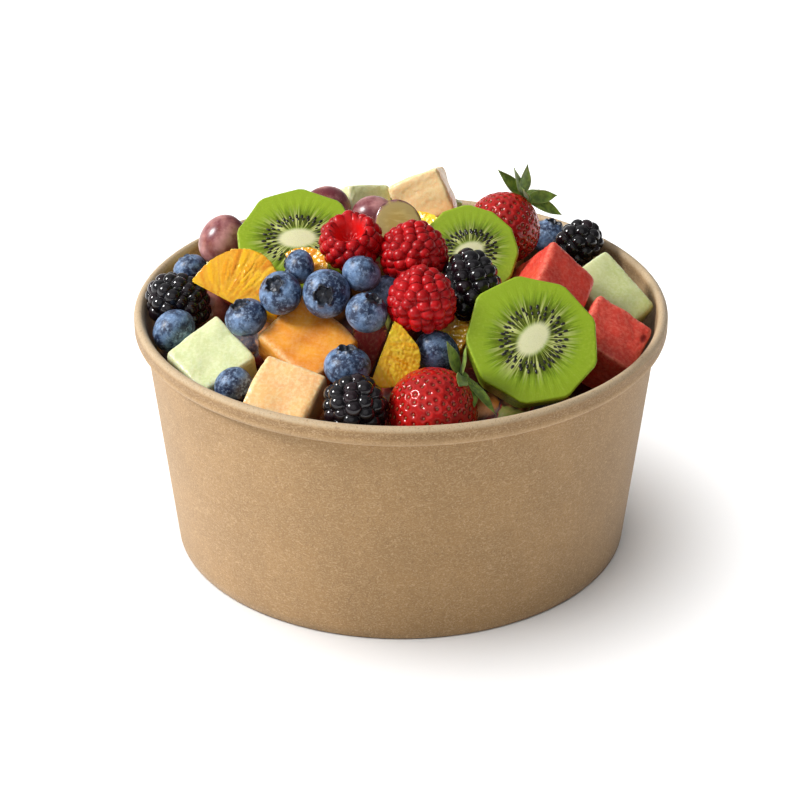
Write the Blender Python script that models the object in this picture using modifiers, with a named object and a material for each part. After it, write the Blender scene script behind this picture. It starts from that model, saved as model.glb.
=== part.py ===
"""A take-away paper bowl heaped with mixed fruit: berries, grapes, kiwi slices, orange and melon.

Metres, +Z up. The origin is the middle of the circle on which the bowl stands.
The fruit is placed piece by piece, then every piece is moved clear of its neighbours and of the wall,
and the bed of fruit below is shaped to carry what lies on it.
"""

import math

import bmesh
import bpy
import numpy as np
from mathutils import Matrix, Vector
from mathutils.bvhtree import BVHTree

MM = 0.001

# Bowl: driving dimensions
RIM_RADIUS = 82.5 * MM
BOWL_HEIGHT = 77.5 * MM
FOOT_RADIUS = 71.5 * MM
WALL_TAPER = 0.108  # growth of the radius for each unit of height
BOARD = 0.7 * MM  # thickness of the paperboard
ROLL_HEIGHT = 6.2 * MM
BASE_RECESS = 8.0 * MM  # height of the base disc above the table
HEM_HEIGHT = 6.0 * MM  # turned-in lower edge of the wall
CLEARANCE = 0.3 * MM  # gap kept between pieces that touch
ROUND_STEPS = 44

# Fruit bed: the fruit that fills the bowl below the pieces on top
BED_CROWN = 15.0 * MM  # height of the middle of the bed above the rim
BED_EDGE = 11.0 * MM  # depth of the bed's edge below the rim
BED_SECTORS = 30
BED_RINGS = 9

LEAF = 0.6 * MM  # thickness of a strawberry's leaves

VIEW_RISE = 28  # the fruit is arranged as seen from the front (-Y) and this many degrees above level


# Collections and materials


def clear_scene():
    for obj in list(bpy.data.objects):
        bpy.data.objects.remove(obj, do_unlink=True)


def new_collection(name):
    collection = bpy.data.collections.new(name)
    bpy.context.scene.collection.children.link(collection)
    return collection


def plain_material(name, colour, roughness):
    material = bpy.data.materials.new(name)
    material.use_nodes = True
    shader = material.node_tree.nodes["Principled BSDF"]
    shader.inputs["Base Color"].default_value = (*colour, 1.0)
    shader.inputs["Roughness"].default_value = roughness
    shader.inputs["Metallic"].default_value = 0.0
    material.diffuse_color = (*colour, 1.0)
    return material


def finished(obj, material, smooth_angle=30):
    """Gives an object its material and smooth shading up to an angle between faces."""
    obj.data.materials.clear()
    obj.data.materials.append(material)
    obj.data.shade_smooth()
    obj.data.set_sharp_from_angle(angle=math.radians(smooth_angle))
    return obj


def object_from_bmesh(name, shape, collection):
    """Turns a bmesh into an object with its faces pointing out."""
    bmesh.ops.recalc_face_normals(shape, faces=shape.faces)
    mesh = bpy.data.meshes.new(name)
    shape.to_mesh(mesh)
    shape.free()
    obj = bpy.data.objects.new(name, mesh)
    collection.objects.link(obj)
    return obj


def turned(name, profile, collection, steps=ROUND_STEPS, closed=False):
    """A profile of (radius, height) points, spun round the Z axis with a Screw modifier."""
    mesh = bpy.data.meshes.new(name)
    links = [(i, i + 1) for i in range(len(profile) - 1)]
    if closed:
        links.append((len(profile) - 1, 0))
    mesh.from_pydata([(r, 0.0, z) for r, z in profile], links, [])
    obj = bpy.data.objects.new(name, mesh)
    collection.objects.link(obj)
    screw = obj.modifiers.new("Spin", "SCREW")
    screw.steps = steps
    screw.render_steps = steps
    screw.use_merge_vertices = True
    screw.merge_threshold = 0.00005
    screw.use_smooth_shade = True
    return obj


# Paper bowl


def wall_radius(height):
    """Outer radius of the bowl's wall at a height."""
    return FOOT_RADIUS + WALL_TAPER * height


def offset_line(line, distance):
    """The points of an open (radius, height) line moved sideways, to its left, by a distance."""
    points = [Vector(point) for point in line]
    sides = [(end - start).normalized().orthogonal() for start, end in zip(points, points[1:])]
    moved = []
    for i, point in enumerate(points):
        middle = sides[max(i - 1, 0)] + sides[min(i, len(sides) - 1)]
        moved.append(tuple(point + middle * (2 * distance / middle.length_squared)))
    return moved


def bowl_wall(collection, material):
    """Tapered paper wall: its top edge is rolled outwards into the rim, its foot is folded in as a hem."""
    half = BOARD / 2
    neck = BOWL_HEIGHT - ROLL_HEIGHT / 2
    inner = wall_radius(neck) - half
    roll_width = RIM_RADIUS - half - inner
    roll_rise = ROLL_HEIGHT / 2 - half
    roll = []
    for degrees in range(180, -136, -45):
        angle = math.radians(degrees)
        out = inner + roll_width / 2 * (1 + math.cos(angle))
        roll.append((out, neck + roll_rise * math.sin(angle)))
    fold = 0.5 * BOARD  # how much the folded edge is rounded
    foot = wall_radius(0) - half
    turn_in = foot - 2 * BOARD - 2 * CLEARANCE
    hem = [
        (turn_in + WALL_TAPER * HEM_HEIGHT, HEM_HEIGHT),
        (turn_in, half + fold),
        (turn_in + fold, half),
        (foot - fold, half),
        (foot, half + fold),
    ]
    line = hem + roll
    # Outer side first, from the rolled edge down to the hem, so that the faces point out
    profile = offset_line(line, -half)[::-1] + offset_line(line, half)
    obj = turned("bowl_wall", profile, collection, closed=True)
    return finished(obj, material)


def bowl_base(collection, material):
    """Recessed round base, its edge turned down between the wall and the hem."""
    half = BOARD / 2
    skirt = wall_radius(0) - BOARD - CLEARANCE - half
    skirt_foot = 2.2 * MM
    bend = 1.6 * MM
    skirt_top = BASE_RECESS - half - bend
    line = [
        (0.0, BASE_RECESS - half),
        (skirt + WALL_TAPER * skirt_top - bend, BASE_RECESS - half),
        (skirt + WALL_TAPER * skirt_top, skirt_top),
        (skirt + WALL_TAPER * skirt_foot, skirt_foot),
    ]
    profile = offset_line(line, half) + offset_line(line, -half)[::-1]
    obj = turned("bowl_base", profile, collection)
    return finished(obj, material)


# Fruit shapes: each is made round the origin, with +Z at its stem end, its crown or its cut face


def blueberry_shape(name, collection, radius):
    """A flattened ball with a shallow crown, turned."""
    squash = 0.86
    profile = [(0.0, 0.68 * radius), (0.25 * radius, 0.70 * radius), (0.37 * radius, 0.88 * radius)]
    for degrees in (55, 22, -12, -50):
        angle = math.radians(degrees)
        profile.append((radius * math.cos(angle), radius * squash * math.sin(angle)))
    profile.append((0.0, -radius * squash))
    return turned(name, profile, collection, steps=10)


def grape_shape(name, collection, radius, length, cut=False):
    """An oval berry, or the half left by a cut along it, whose cut face looks to +Z."""
    shape = bmesh.new()
    bmesh.ops.create_uvsphere(shape, u_segments=10, v_segments=8, radius=1.0)
    bmesh.ops.scale(shape, vec=(radius, radius, length / 2), verts=shape.verts)
    if cut:
        bmesh.ops.rotate(shape, matrix=Matrix.Rotation(math.radians(90), 3, "Y"), verts=shape.verts)
        bmesh.ops.translate(shape, vec=(0, 0, -0.12 * radius), verts=shape.verts)
        slice_off(shape, Vector((0, 0, 0)), Vector((0, 0, 1)))
    return object_from_bmesh(name, shape, collection)


def slice_off(shape, point, outward):
    """Cuts away what lies beyond a plane and closes the cut."""
    everything = shape.verts[:] + shape.edges[:] + shape.faces[:]
    cut = bmesh.ops.bisect_plane(shape, geom=everything, plane_co=point, plane_no=outward, clear_outer=True)
    edges = [item for item in cut["geom_cut"] if isinstance(item, bmesh.types.BMEdge)]
    bmesh.ops.edgeloop_fill(shape, edges=edges)


def cluster_berry_shape(name, collection, radius, length, taper, hollow):
    """A berry of many drupelets: a ball whose surface rises and falls as a staggered lattice.

    taper narrows it towards the tip. hollow is how deep the stem end is sunk, as a share of the length.
    """
    around = 12
    rings = 12
    relief = 0.075
    shape = bmesh.new()
    bmesh.ops.create_uvsphere(shape, u_segments=2 * around, v_segments=rings, radius=1.0)
    for vert in shape.verts:
        turn = math.atan2(vert.co.y, vert.co.x)
        down = math.acos(max(-1.0, min(1.0, vert.co.z))) / math.pi
        fade = math.sin(math.pi * down)
        bump = fade * math.cos(around * turn) * math.cos(math.pi * rings * down)
        narrow = 1.0 - taper * down
        vert.co *= 1.0 + relief * (bump - 1.0)
        vert.co.x *= radius * narrow
        vert.co.y *= radius * narrow
        vert.co.z *= length / 2
        if down < 0.01:
            vert.co.z -= hollow * length
    # The short diagonals run through the dips and leave each drupelet a bump of its own
    bmesh.ops.triangulate(shape, faces=shape.faces, quad_method="SHORT_EDGE")
    return object_from_bmesh(name, shape, collection)


def strawberry_shape(name, collection, radius, length):
    """A heart-like cone with round shoulders at the stem end and a blunt tip."""
    shape = bmesh.new()
    bmesh.ops.create_uvsphere(shape, u_segments=14, v_segments=10, radius=1.0)
    for vert in shape.verts:
        down = (1.0 - vert.co.z) / 2
        wide = 1.0 + 0.10 * math.sin(math.pi * down) - 0.42 * down**2
        vert.co.x *= radius * wide
        vert.co.y *= radius * wide
        vert.co.z = (0.5 - down) * length
    return object_from_bmesh(name, shape, collection)


def calyx_shape(name, collection, leaf_length, lift, leaves=6):
    """The green star of a strawberry: thin pointed leaves round a small disc, waved and curled."""
    shape = bmesh.new()
    disc = 2.6 * MM
    columns = leaves * 4
    shares = (0.0, 0.5, 1.0)
    rings = []
    for share in shares:
        ring = []
        for column in range(columns):
            turn = 2 * math.pi * column / columns
            ray = abs(math.cos(leaves * turn / 2))
            uneven = 1.0 + 0.16 * math.sin(3 * turn + 1.0)
            reach = disc + share * leaf_length * uneven * ray**1.5 + 0.4 * MM * share
            height = lift * share**1.5 * leaf_length * ray + 0.5 * MM * share * math.sin(5 * turn)
            ring.append(shape.verts.new((reach * math.cos(turn), reach * math.sin(turn), height)))
        rings.append(ring)
    shape.faces.new(rings[0])
    for inner, outer in zip(rings, rings[1:]):
        for i in range(columns):
            j = (i + 1) % columns
            shape.faces.new((inner[i], outer[i], outer[j], inner[j]))
    obj = object_from_bmesh(name, shape, collection)
    leaf = obj.modifiers.new("Leaf", "SOLIDIFY")
    leaf.thickness = LEAF
    leaf.offset = 0.0
    return obj


def melon_cube_shape(name, collection, size, seed):
    """A hand-cut cube of melon: six slightly crooked faces."""
    shape = bmesh.new()
    bmesh.ops.create_cube(shape, size=1.0)
    draw = np.random.default_rng(seed)
    for vert in shape.verts:
        crooked = 1.0 + draw.uniform(-0.07, 0.07, 3)
        vert.co = Vector([vert.co[i] * size[i] * crooked[i] for i in range(3)])
    return object_from_bmesh(name, shape, collection)


def round_edges(obj, width=1.3 * MM, segments=2):
    bevel = obj.modifiers.new("Edges", "BEVEL")
    bevel.width = width
    bevel.segments = segments
    return obj


def kiwi_slice_shape(name, collection, radius, thickness, sides, seed):
    """A thick slice of kiwi peeled with a knife, so that its outline has flats."""
    shape = bmesh.new()
    bmesh.ops.create_cone(
        shape, cap_ends=True, segments=sides, radius1=radius * 0.90, radius2=radius, depth=thickness
    )
    draw = np.random.default_rng(seed)
    uneven = draw.uniform(0.95, 1.0, sides)
    for vert in shape.verts:
        turn = math.atan2(vert.co.y, vert.co.x) / (2 * math.pi) * sides
        vert.co.xy *= uneven[round(turn) % sides]
    obj = object_from_bmesh(name, shape, collection)
    return round_edges(obj, width=1.0 * MM, segments=1)


def orange_segment_shape(name, collection, length, depth, angle):
    """A peeled orange segment: the wedge between two membranes, its round outer side to +X, long along Y."""
    shape = bmesh.new()
    bmesh.ops.create_uvsphere(shape, u_segments=20, v_segments=12, radius=1.0)
    bmesh.ops.rotate(shape, matrix=Matrix.Rotation(math.radians(90), 3, "X"), verts=shape.verts)
    half = math.radians(angle) / 2
    for side in (1, -1):
        outward = Vector((-math.sin(half), 0, side * math.cos(half)))
        slice_off(shape, Vector((0.10, 0, 0)), outward)
    bmesh.ops.scale(shape, vec=(depth, length / 2, depth), verts=shape.verts)
    bmesh.ops.translate(shape, vec=(-0.55 * depth, 0, 0), verts=shape.verts)
    bmesh.ops.dissolve_degenerate(shape, dist=0.2 * MM, edges=shape.edges)
    return object_from_bmesh(name, shape, collection)


# Placing


def turned_to(bearing, rise, spin):
    """Rotation that points local +Z at a compass bearing and a rise above level, after a spin about it."""
    swing = Matrix.Rotation(math.radians(bearing), 3, "Z")
    tip = Matrix.Rotation(math.radians(90 - rise), 3, "Y")
    return swing @ tip @ Matrix.Rotation(math.radians(spin), 3, "Z")


class Piece:
    """One piece of fruit: where it is wanted, where it is now, and the convex outlines of its objects."""

    def __init__(self, obj, material, place, facing, spin):
        self.turn = turned_to(*facing, spin)
        x, y, above_rim = place
        self.wanted = np.array([x * MM, y * MM, BOWL_HEIGHT + above_rim * MM])
        self.place = self.wanted.copy()
        self.objects = []
        self.outlines = []
        self.reach = 0.0
        self.carry(finished(obj, material), 0.0)

    def carry(self, obj, seat):
        """Adds an object that sits a distance up the piece's own axis and moves with it."""
        obj.matrix_world = Matrix.Translation((0, 0, seat))
        outline = Outline(obj, self.turn)
        self.objects.append(obj)
        self.outlines.append(outline)
        self.reach = max(self.reach, np.linalg.norm(outline.points, axis=1).max())

    def settle(self):
        where = Matrix.Translation(Vector(np.round(self.place, 5))) @ self.turn.to_4x4()
        for obj in self.objects:
            obj.matrix_world = where @ obj.matrix_world


class Outline:
    """The convex hull of a turned object: sample points on it, and the planes of its faces."""

    def __init__(self, obj, turn):
        shape = evaluated_bmesh(obj)
        bmesh.ops.transform(shape, matrix=turn.to_4x4() @ obj.matrix_world, verts=shape.verts)
        hull = bmesh.ops.convex_hull(shape, input=shape.verts)
        faces = [item for item in hull["geom"] if isinstance(item, bmesh.types.BMFace)]
        corners = np.array([[vert.co[:] for vert in face.verts] for face in faces])
        shape.free()
        normals = np.cross(corners[:, 1] - corners[:, 0], corners[:, 2] - corners[:, 0])
        lengths = np.linalg.norm(normals, axis=1)
        corners = corners[lengths > 1e-12]
        normals = normals[lengths > 1e-12] / lengths[lengths > 1e-12, None]
        middle = corners.reshape(-1, 3).mean(axis=0)
        normals *= np.sign(((corners[:, 0] - middle) * normals).sum(axis=1))[:, None]
        offsets = (corners[:, 0] * normals).sum(axis=1)
        planes = np.unique(np.round(np.column_stack([normals * 100, offsets * 1e5])), axis=0)
        self.normals = planes[:, :3] / 100
        self.offsets = planes[:, 3] * 1e-5
        self.points = sample_triangles(corners)

    def deepest(self, points):
        """How far the deepest of some points lies inside the outline, and the way out."""
        depth = points @ self.normals.T - self.offsets
        nearest = depth.argmax(axis=1)
        inside = depth[np.arange(len(points)), nearest]
        worst = inside.argmin()
        return -inside[worst], self.normals[nearest[worst]]


def evaluated_bmesh(obj):
    """The object's mesh with its modifiers, in its own space."""
    bpy.context.view_layer.update()
    shape = bmesh.new()
    shape.from_object(obj, bpy.context.evaluated_depsgraph_get())
    return shape


def sample_triangles(corners, spacing=2.2 * MM):
    """Points spread over triangles, thinned to about one for each cell of the spacing."""
    steps = 12
    shares = [
        (i / steps, j / steps, 1 - (i + j) / steps) for i in range(steps + 1) for j in range(steps + 1 - i)
    ]
    points = np.einsum("sk,tkc->tsc", np.array(shares), corners).reshape(-1, 3)
    _, first = np.unique(np.round(points / spacing), axis=0, return_index=True)
    ends = corners.reshape(-1, 3)
    _, first_end = np.unique(np.round(ends / (0.5 * spacing)), axis=0, return_index=True)
    return np.vstack([points[first], ends[first_end]])


def inner_wall_radius(heights):
    """Inner radius of the bowl at each height, opening outwards above the rim."""
    below = np.minimum(heights, BOWL_HEIGHT)
    above = np.maximum(heights - BOWL_HEIGHT + 1.0 * MM, 0.0)
    return FOOT_RADIUS - BOARD + WALL_TAPER * below + above


def push_inside_wall(piece):
    """Moves a piece away from the wall where its outline reaches into it."""
    for outline in piece.outlines:
        points = outline.points + piece.place
        radii = np.hypot(points[:, 0], points[:, 1])
        excess = radii - inner_wall_radius(points[:, 2]) + 2 * CLEARANCE
        worst = excess.argmax()
        if excess[worst] > 0:
            piece.place[:2] -= points[worst, :2] / radii[worst] * excess[worst]


def push_apart(first, second, gap):
    """Moves two pieces away from each other where their outlines meet."""
    for moved, still in ((first, second), (second, first)):
        for points in [outline.points for outline in moved.outlines]:
            for outline in still.outlines:
                depth, way_out = outline.deepest(points + moved.place - still.place)
                if depth + gap > 0:
                    shift = 0.5 * (depth + gap) * way_out
                    moved.place += shift
                    still.place -= shift


def separate(pieces, rounds=220, gap=CLEARANCE * 1.5):
    """Moves pieces apart until none overlaps.

    A weakening pull holds each near its wanted place. It is strong across the line of sight and weak along
    it, so that a piece in the way of another slips nearer or farther.
    """
    rise = math.radians(VIEW_RISE)
    sight = np.array([0.0, math.cos(rise), -math.sin(rise)])
    for step in range(rounds):
        pull = 0.3 * max(0.0, 1.0 - step / (0.75 * rounds))
        for piece in pieces:
            away = piece.wanted - piece.place
            along = (away @ sight) * sight
            piece.place += pull * (away - along) + 0.1 * pull * along
        for i, first in enumerate(pieces):
            for second in pieces[i + 1 :]:
                if np.linalg.norm(second.place - first.place) < first.reach + second.reach + gap:
                    push_apart(first, second, gap)
        for piece in pieces:
            push_inside_wall(piece)


# The fruit on top, kind by kind. Places are (x, y, height above the rim) in mm, and a facing is a
# (bearing, rise) in degrees, with bearing 0 towards +X and 90 towards +Y


class Heap:
    """The pieces laid so far and the collection that their objects belong to."""

    def __init__(self, collection):
        self.collection = collection
        self.pieces = []
        self.fillers = []

    def lay(self, obj, material, place, facing, spin=0):
        self.pieces.append(Piece(obj, material, place, facing, spin))
        return self.pieces[-1]

    def objects(self, fused):
        """The objects of the fillers that are fused to the bed, or of all the other pieces."""
        chosen = [piece for piece in self.pieces if (piece in self.fillers) == fused]
        return [obj for piece in chosen for obj in piece.objects]


def lay_blueberries(heap):
    skin = plain_material("blueberry_skin", (0.06, 0.10, 0.24), 0.55)
    # Each entry: radius, place, facing of the crown
    berries = [
        (5.6, (-66, 20, 1), (120, 40)),
        (7.1, (-69, -14, -3), (-30, -35)),
        (6.0, (-49, -50, -3), (-40, -40)),
        (6.4, (-45, -31, 9), (-160, 66)),
        (6.7, (-35, -27, 15), (-120, 52)),
        (5.2, (-30, -16, 18), (-170, 0)),
        (7.2, (-22, -30, 17), (-96, 20)),
        (6.0, (-12, -27, 22), (60, 30)),
        (6.0, (-4, -24, 15), (90, 20)),
        (6.4, (-10, -43, 17), (-20, 65)),
        (7.1, (-15, -56, 5), (90, 84)),
        (6.8, (10, -48, 8), (70, 20)),
        (6.6, (20, 66, -2), (110, 60)),
        (6.2, (-10, 68, -2), (60, 50)),
        (6.8, (48, 56, -6), (20, 70)),
    ]
    for i, (radius, place, facing) in enumerate(berries):
        berry = blueberry_shape(f"blueberry_{i + 1:02d}", heap.collection, radius * MM)
        heap.lay(berry, skin, place, facing)


def lay_cluster_berries(heap):
    black = plain_material("bramble_drupelets", (0.02, 0.015, 0.025), 0.25)
    pink = plain_material("raspberry_drupelets", (0.60, 0.03, 0.06), 0.40)
    # Each entry: radius, length, place, facing of the stem end
    brambles = [
        (9.2, 20, (-68, 2, -2), (170, 20)),
        (9.4, 20, (-13, -65, -2), (150, 60)),
        (9.6, 22, (21, -27, 17), (-70, -65)),
        (7.4, 17, (57, 40, 1), (20, 30)),
    ]
    raspberries = [
        (10.8, 17, (-16, -12, 23), (-110, 66)),
        (11.6, 19, (3, -18, 24), (-80, -70)),
        (11.4, 20, (6, -40, 19), (-90, -75)),
    ]
    kinds = [("dark_bramble_berry", brambles, black, 0.12, 0.0), ("raspberry", raspberries, pink, 0.30, 0.42)]
    for name, berries, drupelets, taper, hollow in kinds:
        for i, (radius, length, place, facing) in enumerate(berries):
            title = f"{name}_{i + 1}"
            berry = cluster_berry_shape(title, heap.collection, radius * MM, length * MM, taper, hollow)
            heap.lay(berry, drupelets, place, facing)


def lay_strawberries(heap):
    red = plain_material("strawberry_flesh", (0.60, 0.02, 0.02), 0.30)
    green = plain_material("calyx_leaf", (0.13, 0.30, 0.06), 0.60)
    # Each entry: radius, length, place, facing of the stem end, leaf length, lift of the leaves
    berries = [
        (13.0, 30, (9, -61, -5), (30, 42), 9.0, 0.1),
        (11.5, 26, (31, 29, 10), (35, 45), 9.0, 0.6),
    ]
    for i, (radius, length, place, facing, leaf_length, lift) in enumerate(berries):
        berry = strawberry_shape(f"strawberry_{i + 1}", heap.collection, radius * MM, length * MM)
        calyx = calyx_shape(f"strawberry_calyx_{i + 1}", heap.collection, leaf_length * MM, lift)
        piece = heap.lay(berry, red, place, facing)
        piece.carry(finished(calyx, green), seat=length * MM / 2 + LEAF)


def lay_kiwi_slices(heap):
    flesh = plain_material("kiwi_flesh", (0.35, 0.55, 0.04), 0.35)
    # Each entry: radius, thickness, sides, place, facing of the cut face, spin
    slices = [
        (20.0, 10, 9, (-31, 4, 17), (-92, 60), 10),
        (16.0, 10, 12, (21, 2, 13), (-90, 46), 0),
        (21.0, 10, 9, (35, -41, 4), (-77, 46), 12),
        (17.0, 9, 10, (4, 55, 0), (95, 60), 5),
    ]
    for i, (radius, thickness, sides, place, facing, spin) in enumerate(slices):
        name = f"kiwi_slice_{i + 1}"
        piece = kiwi_slice_shape(name, heap.collection, radius * MM, thickness * MM, sides, seed=i)
        heap.lay(piece, flesh, place, facing, spin)


def lay_orange_segments(heap):
    flesh = plain_material("orange_flesh", (0.90, 0.38, 0.01), 0.30)
    # Each entry: length, depth, angle of the wedge, place, facing, spin
    segments = [
        (29, 20, 26, (-46, -14, 13), (-88, 44), 150),
        (21, 14.5, 42, (-1, -51, 6), (-60, 10), 60),
        (22, 14, 40, (9, 19, 11), (-90, 50), 90),
        (18, 11, 40, (-26, -14, 17), (-90, 60), 120),
        (22, 15, 45, (15, -26, 3), (-90, 40), 90),
        (24, 16, 42, (-17, 52, 1), (100, 50), 30),
    ]
    for i, (length, depth, angle, place, facing, spin) in enumerate(segments):
        name = f"orange_segment_{i + 1}"
        segment = orange_segment_shape(name, heap.collection, length * MM, depth * MM, angle)
        heap.lay(segment, flesh, place, facing, spin)


def lay_melon_cubes(heap):
    salmon = plain_material("cantaloupe_flesh", (0.90, 0.45, 0.15), 0.40)
    pale = plain_material("honeydew_flesh", (0.65, 0.75, 0.35), 0.40)
    coral = plain_material("watermelon_flesh", (0.80, 0.12, 0.08), 0.35)
    # Each entry: name, material, edge lengths, place, facing of one face, spin
    cubes = [
        ("cantaloupe_cube_1", salmon, (23, 21, 15), (-29, -38, 3), (-88, 56), 42),
        ("cantaloupe_cube_2", salmon, (18, 20, 14), (-34, -58, -3), (-96, 55), -20),
        ("cantaloupe_cube_3", salmon, (15, 18, 16), (3, 32, 19), (-100, 20), 24),
        ("cantaloupe_cube_4", salmon, (19, 18, 16), (-36, 36, 0), (130, 50), 30),
        ("cantaloupe_cube_5", salmon, (19, 20, 18), (30, 58, -4), (70, 50), 10),
        ("honeydew_cube_1", pale, (20, 20, 16), (-56, -33, -6), (-100, 62), 45),
        ("honeydew_cube_2", pale, (24, 17, 18), (66, 10, -6), (-60, 55), 15),
        ("honeydew_cube_3", pale, (18, 16, 18), (-12, 35, 14), (100, 60), 20),
        ("honeydew_cube_4", pale, (19, 18, 18), (-60, 40, -8), (150, 50), 40),
        ("watermelon_cube_1", coral, (19, 20, 20), (44, -6, 6), (-35, 44), 20),
        ("watermelon_cube_2", coral, (20, 20, 19), (63, -24, -4), (-50, 55), 30),
        ("watermelon_cube_3", coral, (20, 18, 16), (34, 8, -14), (40, 60), 15),
        ("watermelon_cube_4", coral, (19, 18, 16), (-36, 60, -9), (120, 50), 15),
    ]
    for i, (name, material, size, place, facing, spin) in enumerate(cubes):
        cube = melon_cube_shape(name, heap.collection, [edge * MM for edge in size], seed=10 + i)
        round_edges(cube)
        heap.lay(cube, material, place, facing, spin)


def lay_grapes(heap):
    skin = plain_material("grape_skin", (0.28, 0.05, 0.10), 0.30)
    # Each entry: radius, length, place, facing of the stem end
    grapes = [
        (7.4, 17, (-56, 23, 10), (30, 45)),
        (7.6, 17, (-24, 28, 16), (20, 20)),
        (6.8, 15, (-8, 19, 20), (170, 10)),
        (6.8, 15, (-60, 11, -7), (100, 10)),
        (8.0, 19, (52, 48, -12), (140, 20)),
    ]
    for i, (radius, length, place, facing) in enumerate(grapes):
        grape = grape_shape(f"grape_{i + 1}", heap.collection, radius * MM, length * MM)
        heap.lay(grape, skin, place, facing)
    half = grape_shape("grape_half", heap.collection, 7.4 * MM, 17 * MM, cut=True)
    heap.lay(half, skin, (0, 3, 24), (-85, 32), 20)


def lay_fillers(heap, material):
    """Fruit of the layer below, which shows in the gaps and is fused to the bed."""
    # Each entry: edge length, place, facing
    chunks = [
        (16, (58, 30, -12), (30, 50)),
        (15, (20, 38, -2), (60, 40)),
        (15, (-22, 64, -12), (100, 60)),
        (16, (-42, -16, -8), (-120, 40)),
        (16, (-6, -8, 6), (-60, 40)),
        (15, (44, 30, -8), (20, 60)),
    ]
    for i, (edge, place, facing) in enumerate(chunks):
        chunk = melon_cube_shape(f"chunk_{i + 1}", heap.collection, [edge * MM] * 3, seed=40 + i)
        heap.fillers.append(heap.lay(chunk, material, place, facing))
    # Each entry: radius, place, facing
    round_fruit = [
        (7.0, (2, 18, 10), (60, 40)),
        (7.5, (66, 30, -8), (10, 60)),
        (7.0, (-50, 8, 0), (100, 40)),
        (7.0, (-46, -58, -14), (-90, 20)),
    ]
    for i, (radius, place, facing) in enumerate(round_fruit):
        fruit = grape_shape(f"round_{i + 1}", heap.collection, radius * MM, 2.2 * radius * MM)
        heap.fillers.append(heap.lay(fruit, material, place, facing))


# Fruit bed


def underside_map(objects, spacing=1.2 * MM):
    """Points on a square grid and the lowest height at which each meets one of the objects."""
    joined = bmesh.new()
    for obj in objects:
        shape = evaluated_bmesh(obj)
        bmesh.ops.transform(shape, matrix=obj.matrix_world, verts=shape.verts)
        mesh = bpy.data.meshes.new("underside")
        shape.to_mesh(mesh)
        shape.free()
        joined.from_mesh(mesh)
        bpy.data.meshes.remove(mesh)
    tree = BVHTree.FromBMesh(joined)
    joined.free()
    steps = np.arange(-RIM_RADIUS, RIM_RADIUS + spacing, spacing)
    spots, heights = [], []
    for x in steps:
        for y in steps:
            hit = tree.ray_cast(Vector((x, y, 0.0)), Vector((0, 0, 1)))
            if hit[0] is not None:
                spots.append((x, y))
                heights.append(hit[0].z)
    return np.array(spots), np.array(heights)


def fruit_bed(collection, material, carried, fused):
    """A domed core that fills the bowl and dips under each piece that it carries, with fruit fused on."""
    spots, undersides = underside_map(carried)
    floor = BASE_RECESS + CLEARANCE
    gap = 2 * CLEARANCE
    edge_height = BOWL_HEIGHT - BED_EDGE
    edge_radius = FOOT_RADIUS - BOARD - gap + WALL_TAPER * (edge_height - 10 * MM)
    foot_radius = FOOT_RADIUS - BOARD - gap + WALL_TAPER * floor
    turns = [2 * math.pi * sector / BED_SECTORS for sector in range(BED_SECTORS)]
    shape = bmesh.new()
    rings = []
    for ring in range(BED_RINGS + 1):
        share = ring / BED_RINGS
        radius = share * edge_radius
        cell = max(edge_radius / BED_RINGS, 2 * math.pi * radius / BED_SECTORS) + 0.8 * MM
        row = []
        for turn in turns if ring else turns[:1]:
            x = radius * math.cos(turn)
            y = radius * math.sin(turn)
            height = edge_height + (BED_CROWN + BED_EDGE) * (1 - share**2)
            near = np.hypot(spots[:, 0] - x, spots[:, 1] - y) < cell
            if near.any():
                height = min(height, undersides[near].min() - gap)
            row.append(shape.verts.new((x, y, height)))
        rings.append(row)
    foot = [(foot_radius * math.cos(turn), foot_radius * math.sin(turn), floor) for turn in turns]
    rings.append([shape.verts.new(point) for point in foot])
    for sector in range(BED_SECTORS):
        after = (sector + 1) % BED_SECTORS
        shape.faces.new((rings[0][0], rings[1][sector], rings[1][after]))
        for inner, outer in zip(rings[1:], rings[2:]):
            shape.faces.new((inner[sector], outer[sector], outer[after], inner[after]))
    shape.faces.new(rings[-1])
    bmesh.ops.triangulate(shape, faces=shape.faces)
    obj = object_from_bmesh("fruit_bed", shape, collection)
    fuse(obj, fused)
    return finished(obj, material)


def fuse(obj, others):
    """Joins other solids to an object in one union, drops them, and keeps the largest body."""
    tools = new_collection("fused_fruit")
    for other in others:
        for home in list(other.users_collection):
            home.objects.unlink(other)
        tools.objects.link(other)
    union = obj.modifiers.new("Fuse", "BOOLEAN")
    union.operation = "UNION"
    union.operand_type = "COLLECTION"
    union.collection = tools
    union.solver = "MANIFOLD"
    shape = evaluated_bmesh(obj)
    obj.modifiers.clear()
    for other in others:
        bpy.data.objects.remove(other, do_unlink=True)
    bpy.data.collections.remove(tools)
    bodies = connected_bodies(shape)
    loose = [vert for body in bodies[1:] for vert in body]
    bmesh.ops.delete(shape, geom=loose, context="VERTS")
    shape.to_mesh(obj.data)
    shape.free()


def connected_bodies(shape):
    """The vertices of each separate body in a bmesh, largest body first."""
    unseen = set(shape.verts)
    bodies = []
    while unseen:
        front = [unseen.pop()]
        body = list(front)
        while front:
            vert = front.pop()
            for edge in vert.link_edges:
                other = edge.other_vert(vert)
                if other in unseen:
                    unseen.remove(other)
                    front.append(other)
                    body.append(other)
        bodies.append(body)
    return sorted(bodies, key=len, reverse=True)


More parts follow.
